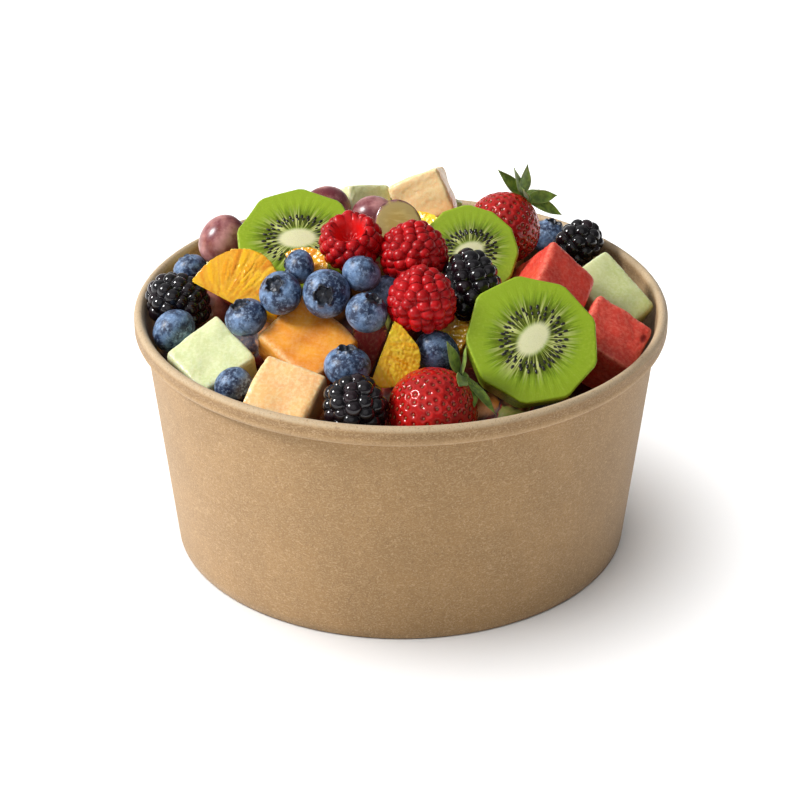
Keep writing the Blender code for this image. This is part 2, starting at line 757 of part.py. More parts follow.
def main():
    clear_scene()
    parts = new_collection("bowl_of_mixed_fruit")
    kraft = plain_material("kraft_paper", (0.45, 0.30, 0.17), 0.85)
    juice = plain_material("bed_of_fruit", (0.45, 0.12, 0.04), 0.50)
    bowl_wall(parts, kraft)
    bowl_base(parts, kraft)

    heap = Heap(parts)
    lay_blueberries(heap)
    lay_cluster_berries(heap)
    lay_strawberries(heap)
    lay_kiwi_slices(heap)
    lay_orange_segments(heap)
    lay_melon_cubes(heap)
    lay_grapes(heap)
    lay_fillers(heap, juice)
    separate(heap.pieces)
    for piece in heap.pieces:
        piece.settle()
    fruit_bed(parts, juice, heap.objects(fused=False), heap.objects(fused=True))


main()
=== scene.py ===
"""A kraft paper bowl heaped with mixed fruit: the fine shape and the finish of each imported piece."""

import math

import bmesh
import bpy
import numpy as np
from mathutils import Matrix, Vector


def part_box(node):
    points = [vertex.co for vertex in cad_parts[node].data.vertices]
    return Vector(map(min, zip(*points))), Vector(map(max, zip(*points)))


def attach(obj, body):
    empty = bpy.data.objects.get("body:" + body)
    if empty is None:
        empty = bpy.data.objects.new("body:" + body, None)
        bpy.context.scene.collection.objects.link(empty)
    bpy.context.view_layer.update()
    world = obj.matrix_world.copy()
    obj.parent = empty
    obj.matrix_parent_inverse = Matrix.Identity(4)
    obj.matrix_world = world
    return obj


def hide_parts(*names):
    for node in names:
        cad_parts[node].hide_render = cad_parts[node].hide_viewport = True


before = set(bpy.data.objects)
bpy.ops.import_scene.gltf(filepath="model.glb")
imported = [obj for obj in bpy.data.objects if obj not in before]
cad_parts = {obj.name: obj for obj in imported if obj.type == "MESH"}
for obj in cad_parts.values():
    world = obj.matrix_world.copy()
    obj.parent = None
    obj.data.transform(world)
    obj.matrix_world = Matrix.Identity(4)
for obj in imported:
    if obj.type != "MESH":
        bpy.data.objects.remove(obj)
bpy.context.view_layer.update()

MM = 0.001


# Bowl wall
# One sheet of kraft paperboard wound into a cone. Its top edge is rolled outwards into a round lip, its
# foot is folded in as a hem, and its two ends overlap in a glued seam at the back.
FOOT_RADIUS = 71.5 * MM
WALL_TAPER = 0.108  # growth of the radius for each unit of height
BOARD = 0.7 * MM
ROLL_HEIGHT = 6.2 * MM
ROLL_GROOVE = 0.25 * MM
HEM_HEIGHT = 6.0 * MM
HEM_GAP = 0.6 * MM  # twice the gap that the base disc's edge has in the fold
SEAM_WIDTH = 12 * MM
WALL_ROWS = 26
ROLL_ROWS = 44
AROUND = 288  # points round the bowl
KRAFT = (0.350, 0.203, 0.076)
# The pale and dark colours serve the fibres and flecks, and also the painted light and painted shade on the
# roll; the last colour is the painted highlight on the roll's crown.
KRAFT_PALE = (0.54, 0.365, 0.190)
KRAFT_DARK = (0.22, 0.122, 0.050)
KRAFT_CROWN_HIGHLIGHT = (0.64, 0.51, 0.34)


def grid_faces(rows, columns, wrap_rows=False):
    """Quads between the points of a grid that is closed round its columns, and round its rows if asked."""
    row = np.arange(rows if wrap_rows else rows - 1)[:, None]
    column = np.arange(columns)[None, :]
    next_row = (row + 1) % rows
    next_column = (column + 1) % columns
    corners = (
        row * columns + column,
        next_row * columns + column,
        next_row * columns + next_column,
        row * columns + next_column,
    )
    return np.stack(np.broadcast_arrays(*corners), -1).reshape(-1, 4)


def new_piece(name, points, faces, material, stands_for=(), values=None):
    """A smooth mesh object that rides on the bowl's body. values holds numbers or vectors for each point."""
    mesh = bpy.data.meshes.new(name)
    mesh.from_pydata(points, [], faces)
    mesh.validate()
    for title, numbers in (values or {}).items():
        numbers = np.asarray(numbers, np.float32)
        vector = numbers.ndim == 2
        attribute = mesh.attributes.new(title, "FLOAT_VECTOR" if vector else "FLOAT", "POINT")
        attribute.data.foreach_set("vector" if vector else "value", numbers.ravel())
    mesh.materials.append(material)
    mesh.shade_smooth()
    obj = bpy.data.objects.new(name, mesh)
    bpy.context.scene.collection.objects.link(obj)
    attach(obj, "root")
    if stands_for:
        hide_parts(*stands_for)


def line_offset(line, distance):
    """A line of (radius, height) points moved sideways, to its left, by a distance, with mitred corners."""
    ways = np.diff(line, axis=0)
    ways /= np.linalg.norm(ways, axis=1)[:, None]
    sides = np.stack([-ways[:, 1], ways[:, 0]], 1)
    middle = np.vstack([sides[:1], sides]) + np.vstack([sides, sides[-1:]])
    return line + middle * (2 * distance / (middle**2).sum(1))[:, None]


def board_section(line, thickness):
    """The closed outline of a board along a line of (radius, height) points: right side, then left."""
    return np.vstack([line_offset(line, -thickness / 2)[::-1], line_offset(line, thickness / 2)])


def round_z(out, turn, up):
    """Points at some distances out from Z, some angles round it, and some heights."""
    return np.stack(np.broadcast_arrays(out * np.cos(turn), out * np.sin(turn), up), -1)


def turned_points(profile, seam=None):
    """A profile of (radius, height) points spun round Z. seam gives what is added to the radius."""
    angle = 2 * np.pi * np.arange(AROUND) / AROUND
    radius, height = profile[:, :1], profile[:, 1:]
    if seam:
        radius = radius + seam(angle, height)
    return round_z(radius, angle, height).reshape(-1, 3)


def wall_line(rim_radius, rim_height):
    """The middle line of the board: hem, fold, sloping wall, then the roll as most of an oval.

    The roll's outer face has a shallow groove. A bell curve of the angle round the roll is taken from the
    face, and half as much is added on each side of it.
    """
    half = BOARD / 2
    foot = FOOT_RADIUS - half
    turn_in = foot - 2 * BOARD - HEM_GAP
    fold = 0.5 * BOARD
    hem_heights = np.linspace(HEM_HEIGHT, half + fold, 4)
    hem = np.stack([turn_in + WALL_TAPER * (hem_heights - half - fold), hem_heights], 1)
    bend = np.array([(turn_in + fold, half), (foot - fold, half)])
    neck = rim_height - ROLL_HEIGHT / 2
    heights = np.linspace(half + fold, neck - 1.5 * MM, WALL_ROWS)
    wall = np.stack([foot + WALL_TAPER * heights, heights], 1)
    inner = foot + WALL_TAPER * neck
    across = rim_radius - half - inner
    angle = np.radians(np.linspace(180, -150, ROLL_ROWS))
    sunk = np.exp(-((angle / 0.42) ** 2))
    raised = 0.5 * np.exp(-(((np.abs(angle) - 0.85) / 0.35) ** 2))
    roll_out = inner + across / 2 * (1 + np.cos(angle)) - ROLL_GROOVE * (sunk - raised)
    roll_up = neck + (ROLL_HEIGHT / 2 - half) * np.sin(angle)
    return np.vstack([hem, bend, wall, np.stack([roll_out, roll_up], 1)])


def add_node(tree, kind, inputs=None, **settings):
    """Adds a node, sets its properties, and gives its inputs numbers or other nodes' outputs."""
    made = tree.nodes.new(kind)
    for key, value in settings.items():
        setattr(made, key, value)
    for key, value in (inputs or {}).items():
        if isinstance(value, bpy.types.NodeSocket):
            tree.links.new(value, made.inputs[key])
        else:
            made.inputs[key].default_value = value
    return made


def new_material(name, **numbers):
    """A Principled material with numbers set on its own sockets, with its node tree and its shader."""
    material = bpy.data.materials.new(name)
    material.use_nodes = True
    shader = material.node_tree.nodes["Principled BSDF"]
    for key, value in numbers.items():
        shader.inputs[key.replace("_", " ").title().replace("Ior", "IOR")].default_value = value
    return material, material.node_tree, shader


def place_of(tree, stretch=(1, 1, 1), turn=(0, 0, 0)):
    """Object coordinates in millimetres, stretched and turned."""
    place = add_node(tree, "ShaderNodeTexCoord").outputs["Object"]
    scale = [share / MM for share in stretch]
    inputs = {"Vector": place, "Scale": scale, "Rotation": [math.radians(angle) for angle in turn]}
    return add_node(tree, "ShaderNodeMapping", inputs).outputs["Vector"]


def noise(tree, place, scale, detail=3.0, roughness=0.55, curl=0.0):
    """Noise around 0.5, with about scale bumps a millimetre. curl bends it into short curved strands."""
    inputs = {"Vector": place, "Scale": scale, "Detail": detail, "Roughness": roughness, "Distortion": curl}
    return add_node(tree, "ShaderNodeTexNoise", inputs).outputs["Fac"]


def between(tree, value, low, high, start=0.0, end=1.0):
    """value from low to high brought smoothly to start to end."""
    inputs = {"Value": value, "From Min": low, "From Max": high, "To Min": start, "To Max": end}
    return add_node(tree, "ShaderNodeMapRange", inputs, interpolation_type="SMOOTHSTEP").outputs["Result"]


def maths(tree, operation, first, second):
    """The Math node's result for two numbers or outputs."""
    return add_node(tree, "ShaderNodeMath", {0: first, 1: second}, operation=operation).outputs["Value"]


def product(tree, first, second):
    return maths(tree, "MULTIPLY", first, second)


def total(tree, first, second):
    return maths(tree, "ADD", first, second)


def blended(tree, share, first, second):
    """The first colour where share is 0 and the second where it is 1."""
    made = add_node(tree, "ShaderNodeMix", data_type="RGBA")
    for socket, value in (("Factor_Float", share), ("A_Color", first), ("B_Color", second)):
        target = next(item for item in made.inputs if item.identifier == socket)
        if isinstance(value, bpy.types.NodeSocket):
            tree.links.new(value, target)
        else:
            target.default_value = (*value, 1.0)
    return next(item for item in made.outputs if item.identifier == "Result_Color")


def surfaced(tree, shader, colour, height, distance, strength, roughness=None):
    """Gives a shader its colour, a rise by distance where height is 1, and any roughness that varies."""
    bump = add_node(tree, "ShaderNodeBump", {"Height": height, "Distance": distance, "Strength": strength})
    tree.links.new(colour, shader.inputs["Base Color"])
    tree.links.new(bump.outputs["Normal"], shader.inputs["Normal"])
    if roughness is not None:
        tree.links.new(roughness, shader.inputs["Roughness"])


def kraft_material(name, tint):
    """Unbleached paperboard: crossing layers of fine fibres, dark flecks, and a slow cloudiness.

    By its height below the rim, the roll's crown is lightened as a painted highlight, the hollow under it is
    darkened as painted shade, and the fold under the roll is lightened again as painted light.
    """
    material, tree, shader = new_material(name, roughness=0.75, specular_ior_level=0.50, sheen_weight=0.18)
    lengthwise = noise(tree, place_of(tree, (0.9, 0.9, 1.6), (8, 14, 0)), 0.55, 4.0, 0.62, 3.2)
    crosswise = noise(tree, place_of(tree, (1.6, 1.6, 0.9), (0, 0, 40)), 0.50, 4.0, 0.62, 3.2)
    cloud = noise(tree, place_of(tree), 0.06, 2.0)
    fleck = noise(tree, place_of(tree, (1.0, 1.0, 2.0)), 1.3, 2.0, 0.5, 0.8)
    height = add_node(tree, "ShaderNodeSeparateXYZ", {"Vector": place_of(tree)}).outputs["Z"]
    below = maths(tree, "SUBTRACT", rim_height / MM, height)
    # Painted highlight on the roll's crown, painted shade in the hollow under it, and painted light on the
    # fold below.
    crown = between(tree, below, 1.8, 0.5, 0, 0.68)
    hollow = product(tree, between(tree, below, 1.2, 2.2), between(tree, below, 4.2, 3.0, 0, 0.42))
    under = product(tree, between(tree, below, 3.6, 4.6), between(tree, below, 6.4, 5.8, 0, 0.30))
    colour = blended(tree, between(tree, cloud, 0.35, 0.65), tint, [0.90 * part for part in tint])
    for share, shade in ((crown, KRAFT_CROWN_HIGHLIGHT), (hollow, KRAFT_DARK), (under, KRAFT_PALE)):
        colour = blended(tree, share, colour, shade)
    colour = blended(tree, between(tree, lengthwise, 0.46, 0.66, 0, 0.70), colour, KRAFT_PALE)
    colour = blended(tree, between(tree, crosswise, 0.50, 0.70, 0, 0.62), colour, KRAFT_DARK)
    colour = blended(tree, between(tree, fleck, 0.64, 0.74, 0, 0.6), colour, KRAFT_DARK)
    surfaced(tree, shader, colour, total(tree, lengthwise, crosswise), 0.15 * MM, 0.5)
    return material


rim_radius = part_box("bowl_wall")[1].x
rim_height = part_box("bowl_wall")[1].z
kraft = kraft_material("kraft_paper", KRAFT)


def side_seam(angle, height):
    """The board's lap: the radius steps up by half a board over a strip at the back, below the roll."""
    strip = SEAM_WIDTH / FOOT_RADIUS
    away = (angle - np.pi / 2)[None, :]
    lap = (0.5 - 0.5 * np.tanh(away / 0.004)) * (0.5 + 0.5 * np.tanh((away + strip) / 0.02))
    fading = np.clip((rim_height - ROLL_HEIGHT - height) / (4 * MM), 0, 1) * (height > 2 * MM)
    return 0.5 * BOARD * lap * fading


section = board_section(wall_line(rim_radius, rim_height), BOARD)
wall_points = turned_points(section, side_seam)
wall_faces = grid_faces(len(section), AROUND, wrap_rows=True)
new_piece("kraft_bowl_wall", wall_points, wall_faces, kraft, ["bowl_wall"])


# Bowl base
# A round disc of the same board, its edge turned down and glued between the wall and the hem, so that
# the bowl stands on its fold and the disc stays clear of the table.
BASE_RECESS = 8.0 * MM
DISC_BEND = 1.6 * MM
DISC_FOOT = 2.2 * MM


def ball_faces(rows, columns):
    """Quads between the rows of a closed ball, and triangles to its two poles, which are the last points."""
    column = np.arange(columns)
    after = (column + 1) % columns
    last = (rows - 1) * columns
    first_pole = np.full(columns, rows * columns)
    top = np.stack([first_pole, column, after], 1)
    bottom = np.stack([last + column, first_pole + 1, last + after], 1)
    return grid_faces(rows, columns).tolist() + top.tolist() + bottom.tolist()


def base_line():
    """The middle line of the disc: its centre, its flat, a round bend, and the turned-down edge."""
    half = BOARD / 2
    edge = FOOT_RADIUS - BOARD - HEM_GAP / 2 - half
    angle = np.radians(np.linspace(90, 0, 7))
    top = BASE_RECESS - half
    level = top - DISC_BEND
    corner = edge + WALL_TAPER * level
    flat_out = np.linspace(4 * MM, corner - DISC_BEND - 1 * MM, 12)
    flat = np.stack([flat_out, np.full_like(flat_out, top)], 1)
    round_edge = np.stack([corner - DISC_BEND * (1 - np.cos(angle)), level + DISC_BEND * np.sin(angle)], 1)
    heights = np.linspace(level - 0.8 * MM, DISC_FOOT, 4)
    return np.vstack([flat, round_edge, np.stack([edge + WALL_TAPER * heights, heights], 1)])


line = base_line()
section = np.vstack([line_offset(line, BOARD / 2), line_offset(line, -BOARD / 2)[::-1]])
middle = [(0, 0, BASE_RECESS), (0, 0, BASE_RECESS - BOARD)]
base_points = np.vstack([turned_points(section), middle])
base_faces = ball_faces(len(section), AROUND)
new_piece("kraft_bowl_base", base_points, base_faces, kraft, ["bowl_base"])


# Blueberries
# Round berries with a waxy skin, slightly flattened. At one end the dried flower leaves a crown: a small
# dark pit with five short points standing round it.
BLUEBERRY_FLAT = 0.86  # height over width
CROWN_OPENING = 0.36  # angle from the crown's middle to its ring, in radians
CROWN_HEIGHT = 0.10  # this and the pit's depth are shares of the radius
PIT_DEPTH = 0.13
BLUEBERRY_ROWS = 84
BLUEBERRY_COLUMNS = 100
# The bearing and the rise of each crown, in degrees
BLUEBERRY_CROWNS = [
    (120, 40), (-30, -35), (-40, -40), (-160, 66), (-120, 52), (-170, 0), (-96, 20), (60, 30),
    (90, 20), (-20, 65), (90, 84), (70, 20), (110, 60), (60, 50), (20, 70),
]


def turned_to(bearing, rise, spin=0):
    """The turn that points +Z at a compass bearing and a rise above level, after a spin about +Z."""
    swing = Matrix.Rotation(math.radians(bearing), 3, "Z")
    tip = Matrix.Rotation(math.radians(90 - rise), 3, "Y")
    return np.array(swing @ tip @ Matrix.Rotation(math.radians(spin), 3, "Z"))


def node_box(node):
    """The middle and the edge lengths of a node's box, as arrays."""
    low, high = (np.array(corner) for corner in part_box(node))
    return (low + high) / 2, high - low


def seated(points, turn, node):
    """Points turned, then moved so that the middle of their box is the middle of the node's box."""
    points = points @ turn.T
    return points + node_box(node)[0] - (points.min(0) + points.max(0)) / 2


def ball_angles(rows, columns, crowding=1.0):
    """Angles from +Z and round Z over a ball, poles left out. crowding above 1 packs rows near +Z."""
    down = np.pi * (np.arange(1, rows + 1) / (rows + 1)) ** crowding
    turn = 2 * np.pi * np.arange(columns) / columns
    return np.meshgrid(down, turn, indexing="ij")


def with_poles(values):
    """Grid values in a row, followed by the mean of the first row and of the last."""
    flat = values.reshape(-1, *values.shape[2:])
    return np.concatenate([flat, values[:1].mean(1), values[-1:].mean(1)])


def smooth_step(value, low, high):
    """0 below low, 1 above high, and a smooth rise between them."""
    share = np.clip((value - low) / (high - low), 0, 1)
    return share * share * (3 - 2 * share)


def blueberry_points(radius, draw):
    """A flattened ball, slow dents in it, a ring raised in five points round a pit on the crown side."""
    down, turn = ball_angles(BLUEBERRY_ROWS, BLUEBERRY_COLUMNS, crowding=1.45)
    phase = draw.uniform(0, 2 * np.pi, 4)
    size = 1 + 0.018 * np.sin(down) * np.cos(2 * turn + phase[0]) + 0.014 * np.cos(3 * down + phase[1])
    size += 0.010 * np.sin(down) * np.cos(3 * turn + phase[2])
    ragged = 0.05 * np.sin(7 * turn + phase[3]) + 0.04 * np.sin(11 * turn + phase[1])
    points_round = np.abs(np.cos(2.5 * turn + phase[2])) ** 0.8
    ring = CROWN_OPENING * (1.0 + 0.12 * points_round + ragged)
    past = down - ring
    wall = np.exp(-((np.where(past > 0, past / 0.13, past / 0.05)) ** 2))
    lift = radius * wall * (0.035 + CROWN_HEIGHT * points_round)
    depth = PIT_DEPTH + 0.05 * np.cos(5 * turn) * np.sin(down)
    pit = radius * depth * smooth_step(ring - down, 0.0, 0.10)
    button = radius * 0.05 * np.exp(-((down / 0.10) ** 2))
    flat = radius * 0.05 * smooth_step(0.9 - down, 0.0, 0.5)
    out = radius * size * np.sin(down) * (1 + 0.05 * wall * points_round)
    up = radius * size * BLUEBERRY_FLAT * np.cos(down) + lift - pit + button - flat
    points = round_z(out, turn, up)
    crown = smooth_step(ring - down, -0.05, 0.05) + 0.75 * wall * smooth_step(points_round, 0.25, 0.9)
    return with_poles(points), with_poles(np.clip(crown, 0, 1))


def attribute_of(tree, name, output="Fac"):
    """A number that each point of the piece carries, or with output "Vector", a vector."""
    return add_node(tree, "ShaderNodeAttribute", attribute_name=name).outputs[output]


def blueberry_material():
    """Navy skin under a pale blue bloom that is rubbed off in patches, with a brown-black crown."""
    material, tree, shader = new_material(
        "blueberry_skin", specular_ior_level=0.45, coat_weight=0.06, coat_roughness=0.25,
        subsurface_weight=0.04, subsurface_scale=1 * MM,
    )
    place = place_of(tree)
    patches = noise(tree, place, 0.20, 4.0, 0.62)
    mottle = noise(tree, place, 0.95, 4.0, 0.65)
    specks = noise(tree, place, 2.6, 3.0, 0.6)
    crown = attribute_of(tree, "crown")
    colour = blended(tree, between(tree, patches, 0.42, 0.64), (0.012, 0.024, 0.066), (0.150, 0.250, 0.430))
    colour = blended(tree, between(tree, mottle, 0.46, 0.72, 0, 0.75), colour, (0.34, 0.48, 0.70))
    colour = blended(tree, between(tree, specks, 0.56, 0.72, 0, 0.7), colour, (0.012, 0.018, 0.050))
    colour = blended(tree, between(tree, crown, 0.1, 0.9, 0, 0.9), colour, (0.012, 0.011, 0.014))
    roughness = between(tree, mottle, 0.4, 0.7, 0.38, 0.62)
    surfaced(tree, shader, colour, total(tree, mottle, specks), 0.06 * MM, 0.5, roughness)
    return material


blueberry_skin = blueberry_material()
for i, facing in enumerate(BLUEBERRY_CROWNS):
    node = f"blueberry_{i + 1:02d}"
    radius = 0.505 * node_box(node)[1].max()
    points, crown = blueberry_points(radius, np.random.default_rng(100 + i))
    points = seated(points, turned_to(*facing), node)
    faces = ball_faces(BLUEBERRY_ROWS, BLUEBERRY_COLUMNS)
    new_piece(f"{node}_skin", points, faces, blueberry_skin, [node], {"crown": crown})


# Grapes
# Oval red grapes with a thin waxy skin, wine red towards the stalk and browner towards the other end. A
# small brown scar marks the end where the stalk was.
GRAPE_ROWS = 56
GRAPE_COLUMNS = 72
GRAPE_LENGTH = 1.15  # length over width
GRAPE_STALKS = [(30, 45), (20, 20), (170, 10), (100, 10), (140, 20)]  # bearing and rise of the stalk's end


def grape_points(radius, draw):
    """An oval, fuller towards the stalk, with slow dents and a shallow round scar at the stalk.

    Also gives how much each point is scar, and its place from the stalk's end, 1, to the other, -1.
    """
    down, turn = ball_angles(GRAPE_ROWS, GRAPE_COLUMNS, crowding=1.2)
    phase = draw.uniform(0, 2 * np.pi, 3)
    size = 1 + 0.02 * np.cos(2 * turn + phase[0]) * np.sin(down) + 0.03 * np.cos(down)
    size += 0.012 * np.cos(3 * down + phase[1])
    out = radius * size * np.sin(down)
    up = radius * size * GRAPE_LENGTH * np.cos(down) - 0.07 * radius * np.exp(-((down / 0.16) ** 2))
    scar = smooth_step(0.20 - down, 0.0, 0.06)
    return with_poles(round_z(out, turn, up)), {"scar": with_poles(scar), "along": with_poles(np.cos(down))}


def grape_material():
    """Skin from wine red to brown over a juicy inside, a pale bloom in soft patches, and a brown scar."""
    material, tree, shader = new_material(
        "grape_skin", specular_ior_level=0.5, coat_weight=0.25, coat_roughness=0.26,
        subsurface_weight=0.12, subsurface_radius=(1.0, 0.5, 0.3), subsurface_scale=2 * MM,
    )
    place = place_of(tree)
    cloud = noise(tree, place, 0.10, 3.0)
    bloom = noise(tree, place, 0.14, 4.0, 0.6)
    specks = noise(tree, place, 2.2, 2.0)
    scar = attribute_of(tree, "scar")
    ripe = total(tree, product(tree, attribute_of(tree, "along"), 0.16), cloud)
    colour = blended(tree, between(tree, ripe, 0.36, 0.60), (0.30, 0.085, 0.045), (0.150, 0.012, 0.024))
    colour = blended(tree, between(tree, bloom, 0.34, 0.70, 0, 0.64), colour, (0.80, 0.40, 0.38))
    colour = blended(tree, between(tree, specks, 0.66, 0.74, 0, 0.5), colour, (0.52, 0.36, 0.26))
    colour = blended(tree, scar, colour, (0.13, 0.07, 0.035))
    surfaced(tree, shader, colour, bloom, 0.04 * MM, 0.4, between(tree, bloom, 0.4, 0.7, 0.30, 0.50))
    return material


grape_skin = grape_material()
for i, facing in enumerate(GRAPE_STALKS):
    node = f"grape_{i + 1}"
    turn = turned_to(*facing)
    box = node_box(node)[1]
    reach = np.linalg.norm(np.abs(turn) * (1, 1, GRAPE_LENGTH), axis=1)
    radius = 0.50 * (box / reach).max()
    points, values = grape_points(radius, np.random.default_rng(200 + i))
    faces = ball_faces(GRAPE_ROWS, GRAPE_COLUMNS)
    new_piece(f"{node}_skin", seated(points, turn, node), faces, grape_skin, [node], values)


# Brambles and raspberries
# Each berry is a cluster of juicy drupelets grown together, each with a dried hair where its flower was. A
# bramble keeps its core. A raspberry leaves its core on the plant, and has a deep cup at its stalk's end.
CLUSTER_ROWS = 150
CLUSTER_COLUMNS = 190
# Radius and length in millimetres, then the bearing and rise of the stalk's end
BRAMBLES = [(9.2, 20, (170, 20)), (9.4, 20, (150, 60)), (9.6, 22, (-70, -65)), (7.4, 17, (20, 30))]
RASPBERRIES = [(10.8, 17, (-110, 66)), (11.6, 19, (-80, -70)), (11.4, 20, (-90, -75))]
BRAMBLE_DRUPELET = 4.3 * MM
RASPBERRY_DRUPELET = 3.4 * MM
BRAMBLE_TAPER = 0.12  # how much narrower the rings of drupelets are at the tip
RASPBERRY_TAPER = 0.30
CORE = 0.76  # size of the core between the drupelets, as a share of the berry
CUP_DEPTH = 0.42  # share of the raspberry's length
CUP_OPENING = 0.57  # share of its radius
GAP_WIDTH = 0.45 * MM
GAP_DEPTH = 0.32 * MM
HAIR_RADIUS = 0.07 * MM
HAIR_LENGTH = 1.5 * MM
HAIR_ROWS = 6


def ball_ways(down, turn):
    """The way of unit length at each angle from +Z and round Z."""
    return round_z(np.sin(down), turn, np.cos(down))


def drupelet_places(radius, length, taper, size, draw):
    """Middles of the drupelets: staggered rings on an oval that narrows to its tip, a little jittered."""
    arc = np.pi * (radius + length / 2) / 2
    rings = round(arc / (0.86 * size))
    places = []
    for ring in range(rings):
        down = np.pi * (ring + 0.5) / rings
        out = (radius - 0.5 * size) * math.sin(down) * (1 - taper * down / np.pi)
        count = max(1, round(2 * np.pi * out / size))
        turn = 2 * np.pi * (np.arange(count) + 0.5 * (ring % 2)) / count + draw.normal(0, 0.05, count)
        up = (length / 2 - 0.5 * size) * math.cos(down) + draw.normal(0, 0.05 * size, count)
        places.append(round_z(out, turn, up))
    return np.vstack(places)


def oval_distance(ways, start, axes):
    """How far each way runs from a start inside an oval round the origin to its surface."""
    start, step = start / axes, ways / axes
    half, square = step @ start, (step**2).sum(1)
    return (-half + np.sqrt(half**2 - square * ((start**2).sum() - 1))) / square


def cup_distance(ways, turn, start, radius, length):
    """How far each way runs from a start on Z to a bowl-shaped (parabolic) pit at +Z, or infinity.

    The pit's wall has faint dimples in nine columns, where the drupelets' inner ends are.
    """
    floor = (0.5 - CUP_DEPTH) * length - start[2]
    steep = CUP_DEPTH * length / (CUP_OPENING * radius) ** 2
    sine = np.maximum(np.hypot(ways[:, 0], ways[:, 1]), 1e-4)
    cosine = ways[:, 2]
    root = cosine**2 - 4 * steep * sine**2 * floor
    distance = (cosine - np.sqrt(np.maximum(root, 0))) / (2 * steep * sine**2)
    dimples = 0.26 * MM * np.sin(9 * turn) * np.sin(2.4 * distance / MM)
    return np.where((root > 0) & (cosine > 0), distance + dimples, np.inf)


def cluster_points(radius, length, taper, size, cupped, draw):
    """Along each way from a point inside, the place where the way leaves the last drupelet that it meets.

    Where a way leaves two drupelets at nearly the same place, the surface sinks into a gap between them. It
    never sinks below the core. A cupped berry has a pit at +Z, and a way that enters it ends there. Also
    gives each point's tone, which in the cup is its depth, how far it is in the cup and how far in a gap,
    and then the drupelets' middles that carry hairs.
    """
    down, turn = ball_angles(CLUSTER_ROWS, CLUSTER_COLUMNS)
    ways = ball_ways(down, turn).reshape(-1, 3)
    start = np.array([0, 0, -0.15 * length if cupped else 0.0])
    places = drupelet_places(radius, length, taper, size, draw)
    middles = places - start
    sizes = size * draw.uniform(0.56, 0.66, len(middles))
    along = ways @ middles.T
    inside = along**2 - (middles**2).sum(1) + sizes**2
    leaving = np.where(inside > 0, along + np.sqrt(np.maximum(inside, 0)), 0)
    second, reach = np.partition(leaving, -2, axis=1)[:, -2:].T
    gap = 1 - smooth_step(reach - second, 0.0, GAP_WIDTH)
    core = CORE * np.array([radius, radius, length / 2])
    reach = np.maximum(reach - GAP_DEPTH * gap, oval_distance(ways, start, core))
    tone = draw.uniform(0, 1, len(middles))[leaving.argmax(1)]
    cup = np.zeros(len(reach))
    if cupped:
        pit = cup_distance(ways, turn.ravel(), start, radius, length)
        cup = (pit < reach).astype(float)
        reach = np.minimum(reach, pit)
        up = ways[:, 2] * reach + start[2]
        depth = np.clip((0.5 * length - up) / (CUP_DEPTH * length), 0, 1)
        tone = np.where(cup > 0, depth, tone)
        outside = np.hypot(places[:, 0], places[:, 1]) > 0.5 * radius * (places[:, 2] > 0.2 * length)
        places = places[outside]
    points = (ways * reach[:, None] + start).reshape(*down.shape, 3)
    values = {"tone": tone, "cup": cup, "gap": gap * (1 - cup)}
    values = {key: with_poles(value.reshape(down.shape)) for key, value in values.items()}
    return with_poles(points), values, places


def hair_mesh(roots, length, draw):
    """Bent three-sided hairs that taper from each root outwards, and lean over as a quarter circle does."""
    out = roots / np.linalg.norm(roots, axis=1)[:, None]
    lean = np.cross(out, draw.normal(0, 1, out.shape))
    lean /= np.linalg.norm(lean, axis=1)[:, None]
    across = np.cross(out, lean)
    share = np.linspace(0, 1, HAIR_ROWS)[None, :, None]
    reach = length * draw.uniform(0.6, 1.3, (len(roots), 1, 1))
    away = out[:, None] * np.sin(1.3 * share) + lean[:, None] * 0.6 * share**2
    spine = roots[:, None] + reach * away
    around = 2 * np.pi * np.arange(3) / 3
    thin = HAIR_RADIUS * (1.1 - share)[..., None]
    ring = lean[:, None, None] * np.cos(around)[:, None] + across[:, None, None] * np.sin(around)[:, None]
    points = (spine[:, :, None] + thin * ring).reshape(-1, 3)
    first = 3 * HAIR_ROWS * np.arange(len(roots))[:, None]
    last = first + 3 * HAIR_ROWS - 1
    sides = (grid_faces(HAIR_ROWS, 3)[:, ::-1][None] + first[..., None]).reshape(-1, 4)
    ends = np.concatenate([first + (0, 1, 2), last - (0, 1, 2)])
    return points, sides.tolist() + ends[:, ::-1].tolist()


def bramble_material():
    """Near-black drupelets, some a little wine red, with a wet gloss, and dull gaps between them darkened as
    painted shade.
    """
    material, tree, shader = new_material(
        "bramble_drupelets", specular_ior_level=0.45, coat_weight=0.15, coat_roughness=0.05
    )
    gap = attribute_of(tree, "gap")
    ripe = between(tree, attribute_of(tree, "tone"), 0.5, 1.0)
    cloud = noise(tree, place_of(tree), 0.9, 3.0)
    colour = blended(tree, ripe, (0.005, 0.004, 0.006), (0.014, 0.005, 0.008))
    colour = blended(tree, between(tree, cloud, 0.5, 0.75, 0, 0.4), colour, (0.035, 0.026, 0.034))
    # Painted shade in the gaps between drupelets.
    colour = blended(tree, between(tree, gap, 0.2, 0.9), colour, (0.004, 0.002, 0.003))
    surfaced(tree, shader, colour, cloud, 0.05 * MM, 0.4, between(tree, gap, 0.1, 0.7, 0.13, 0.75))
    return material


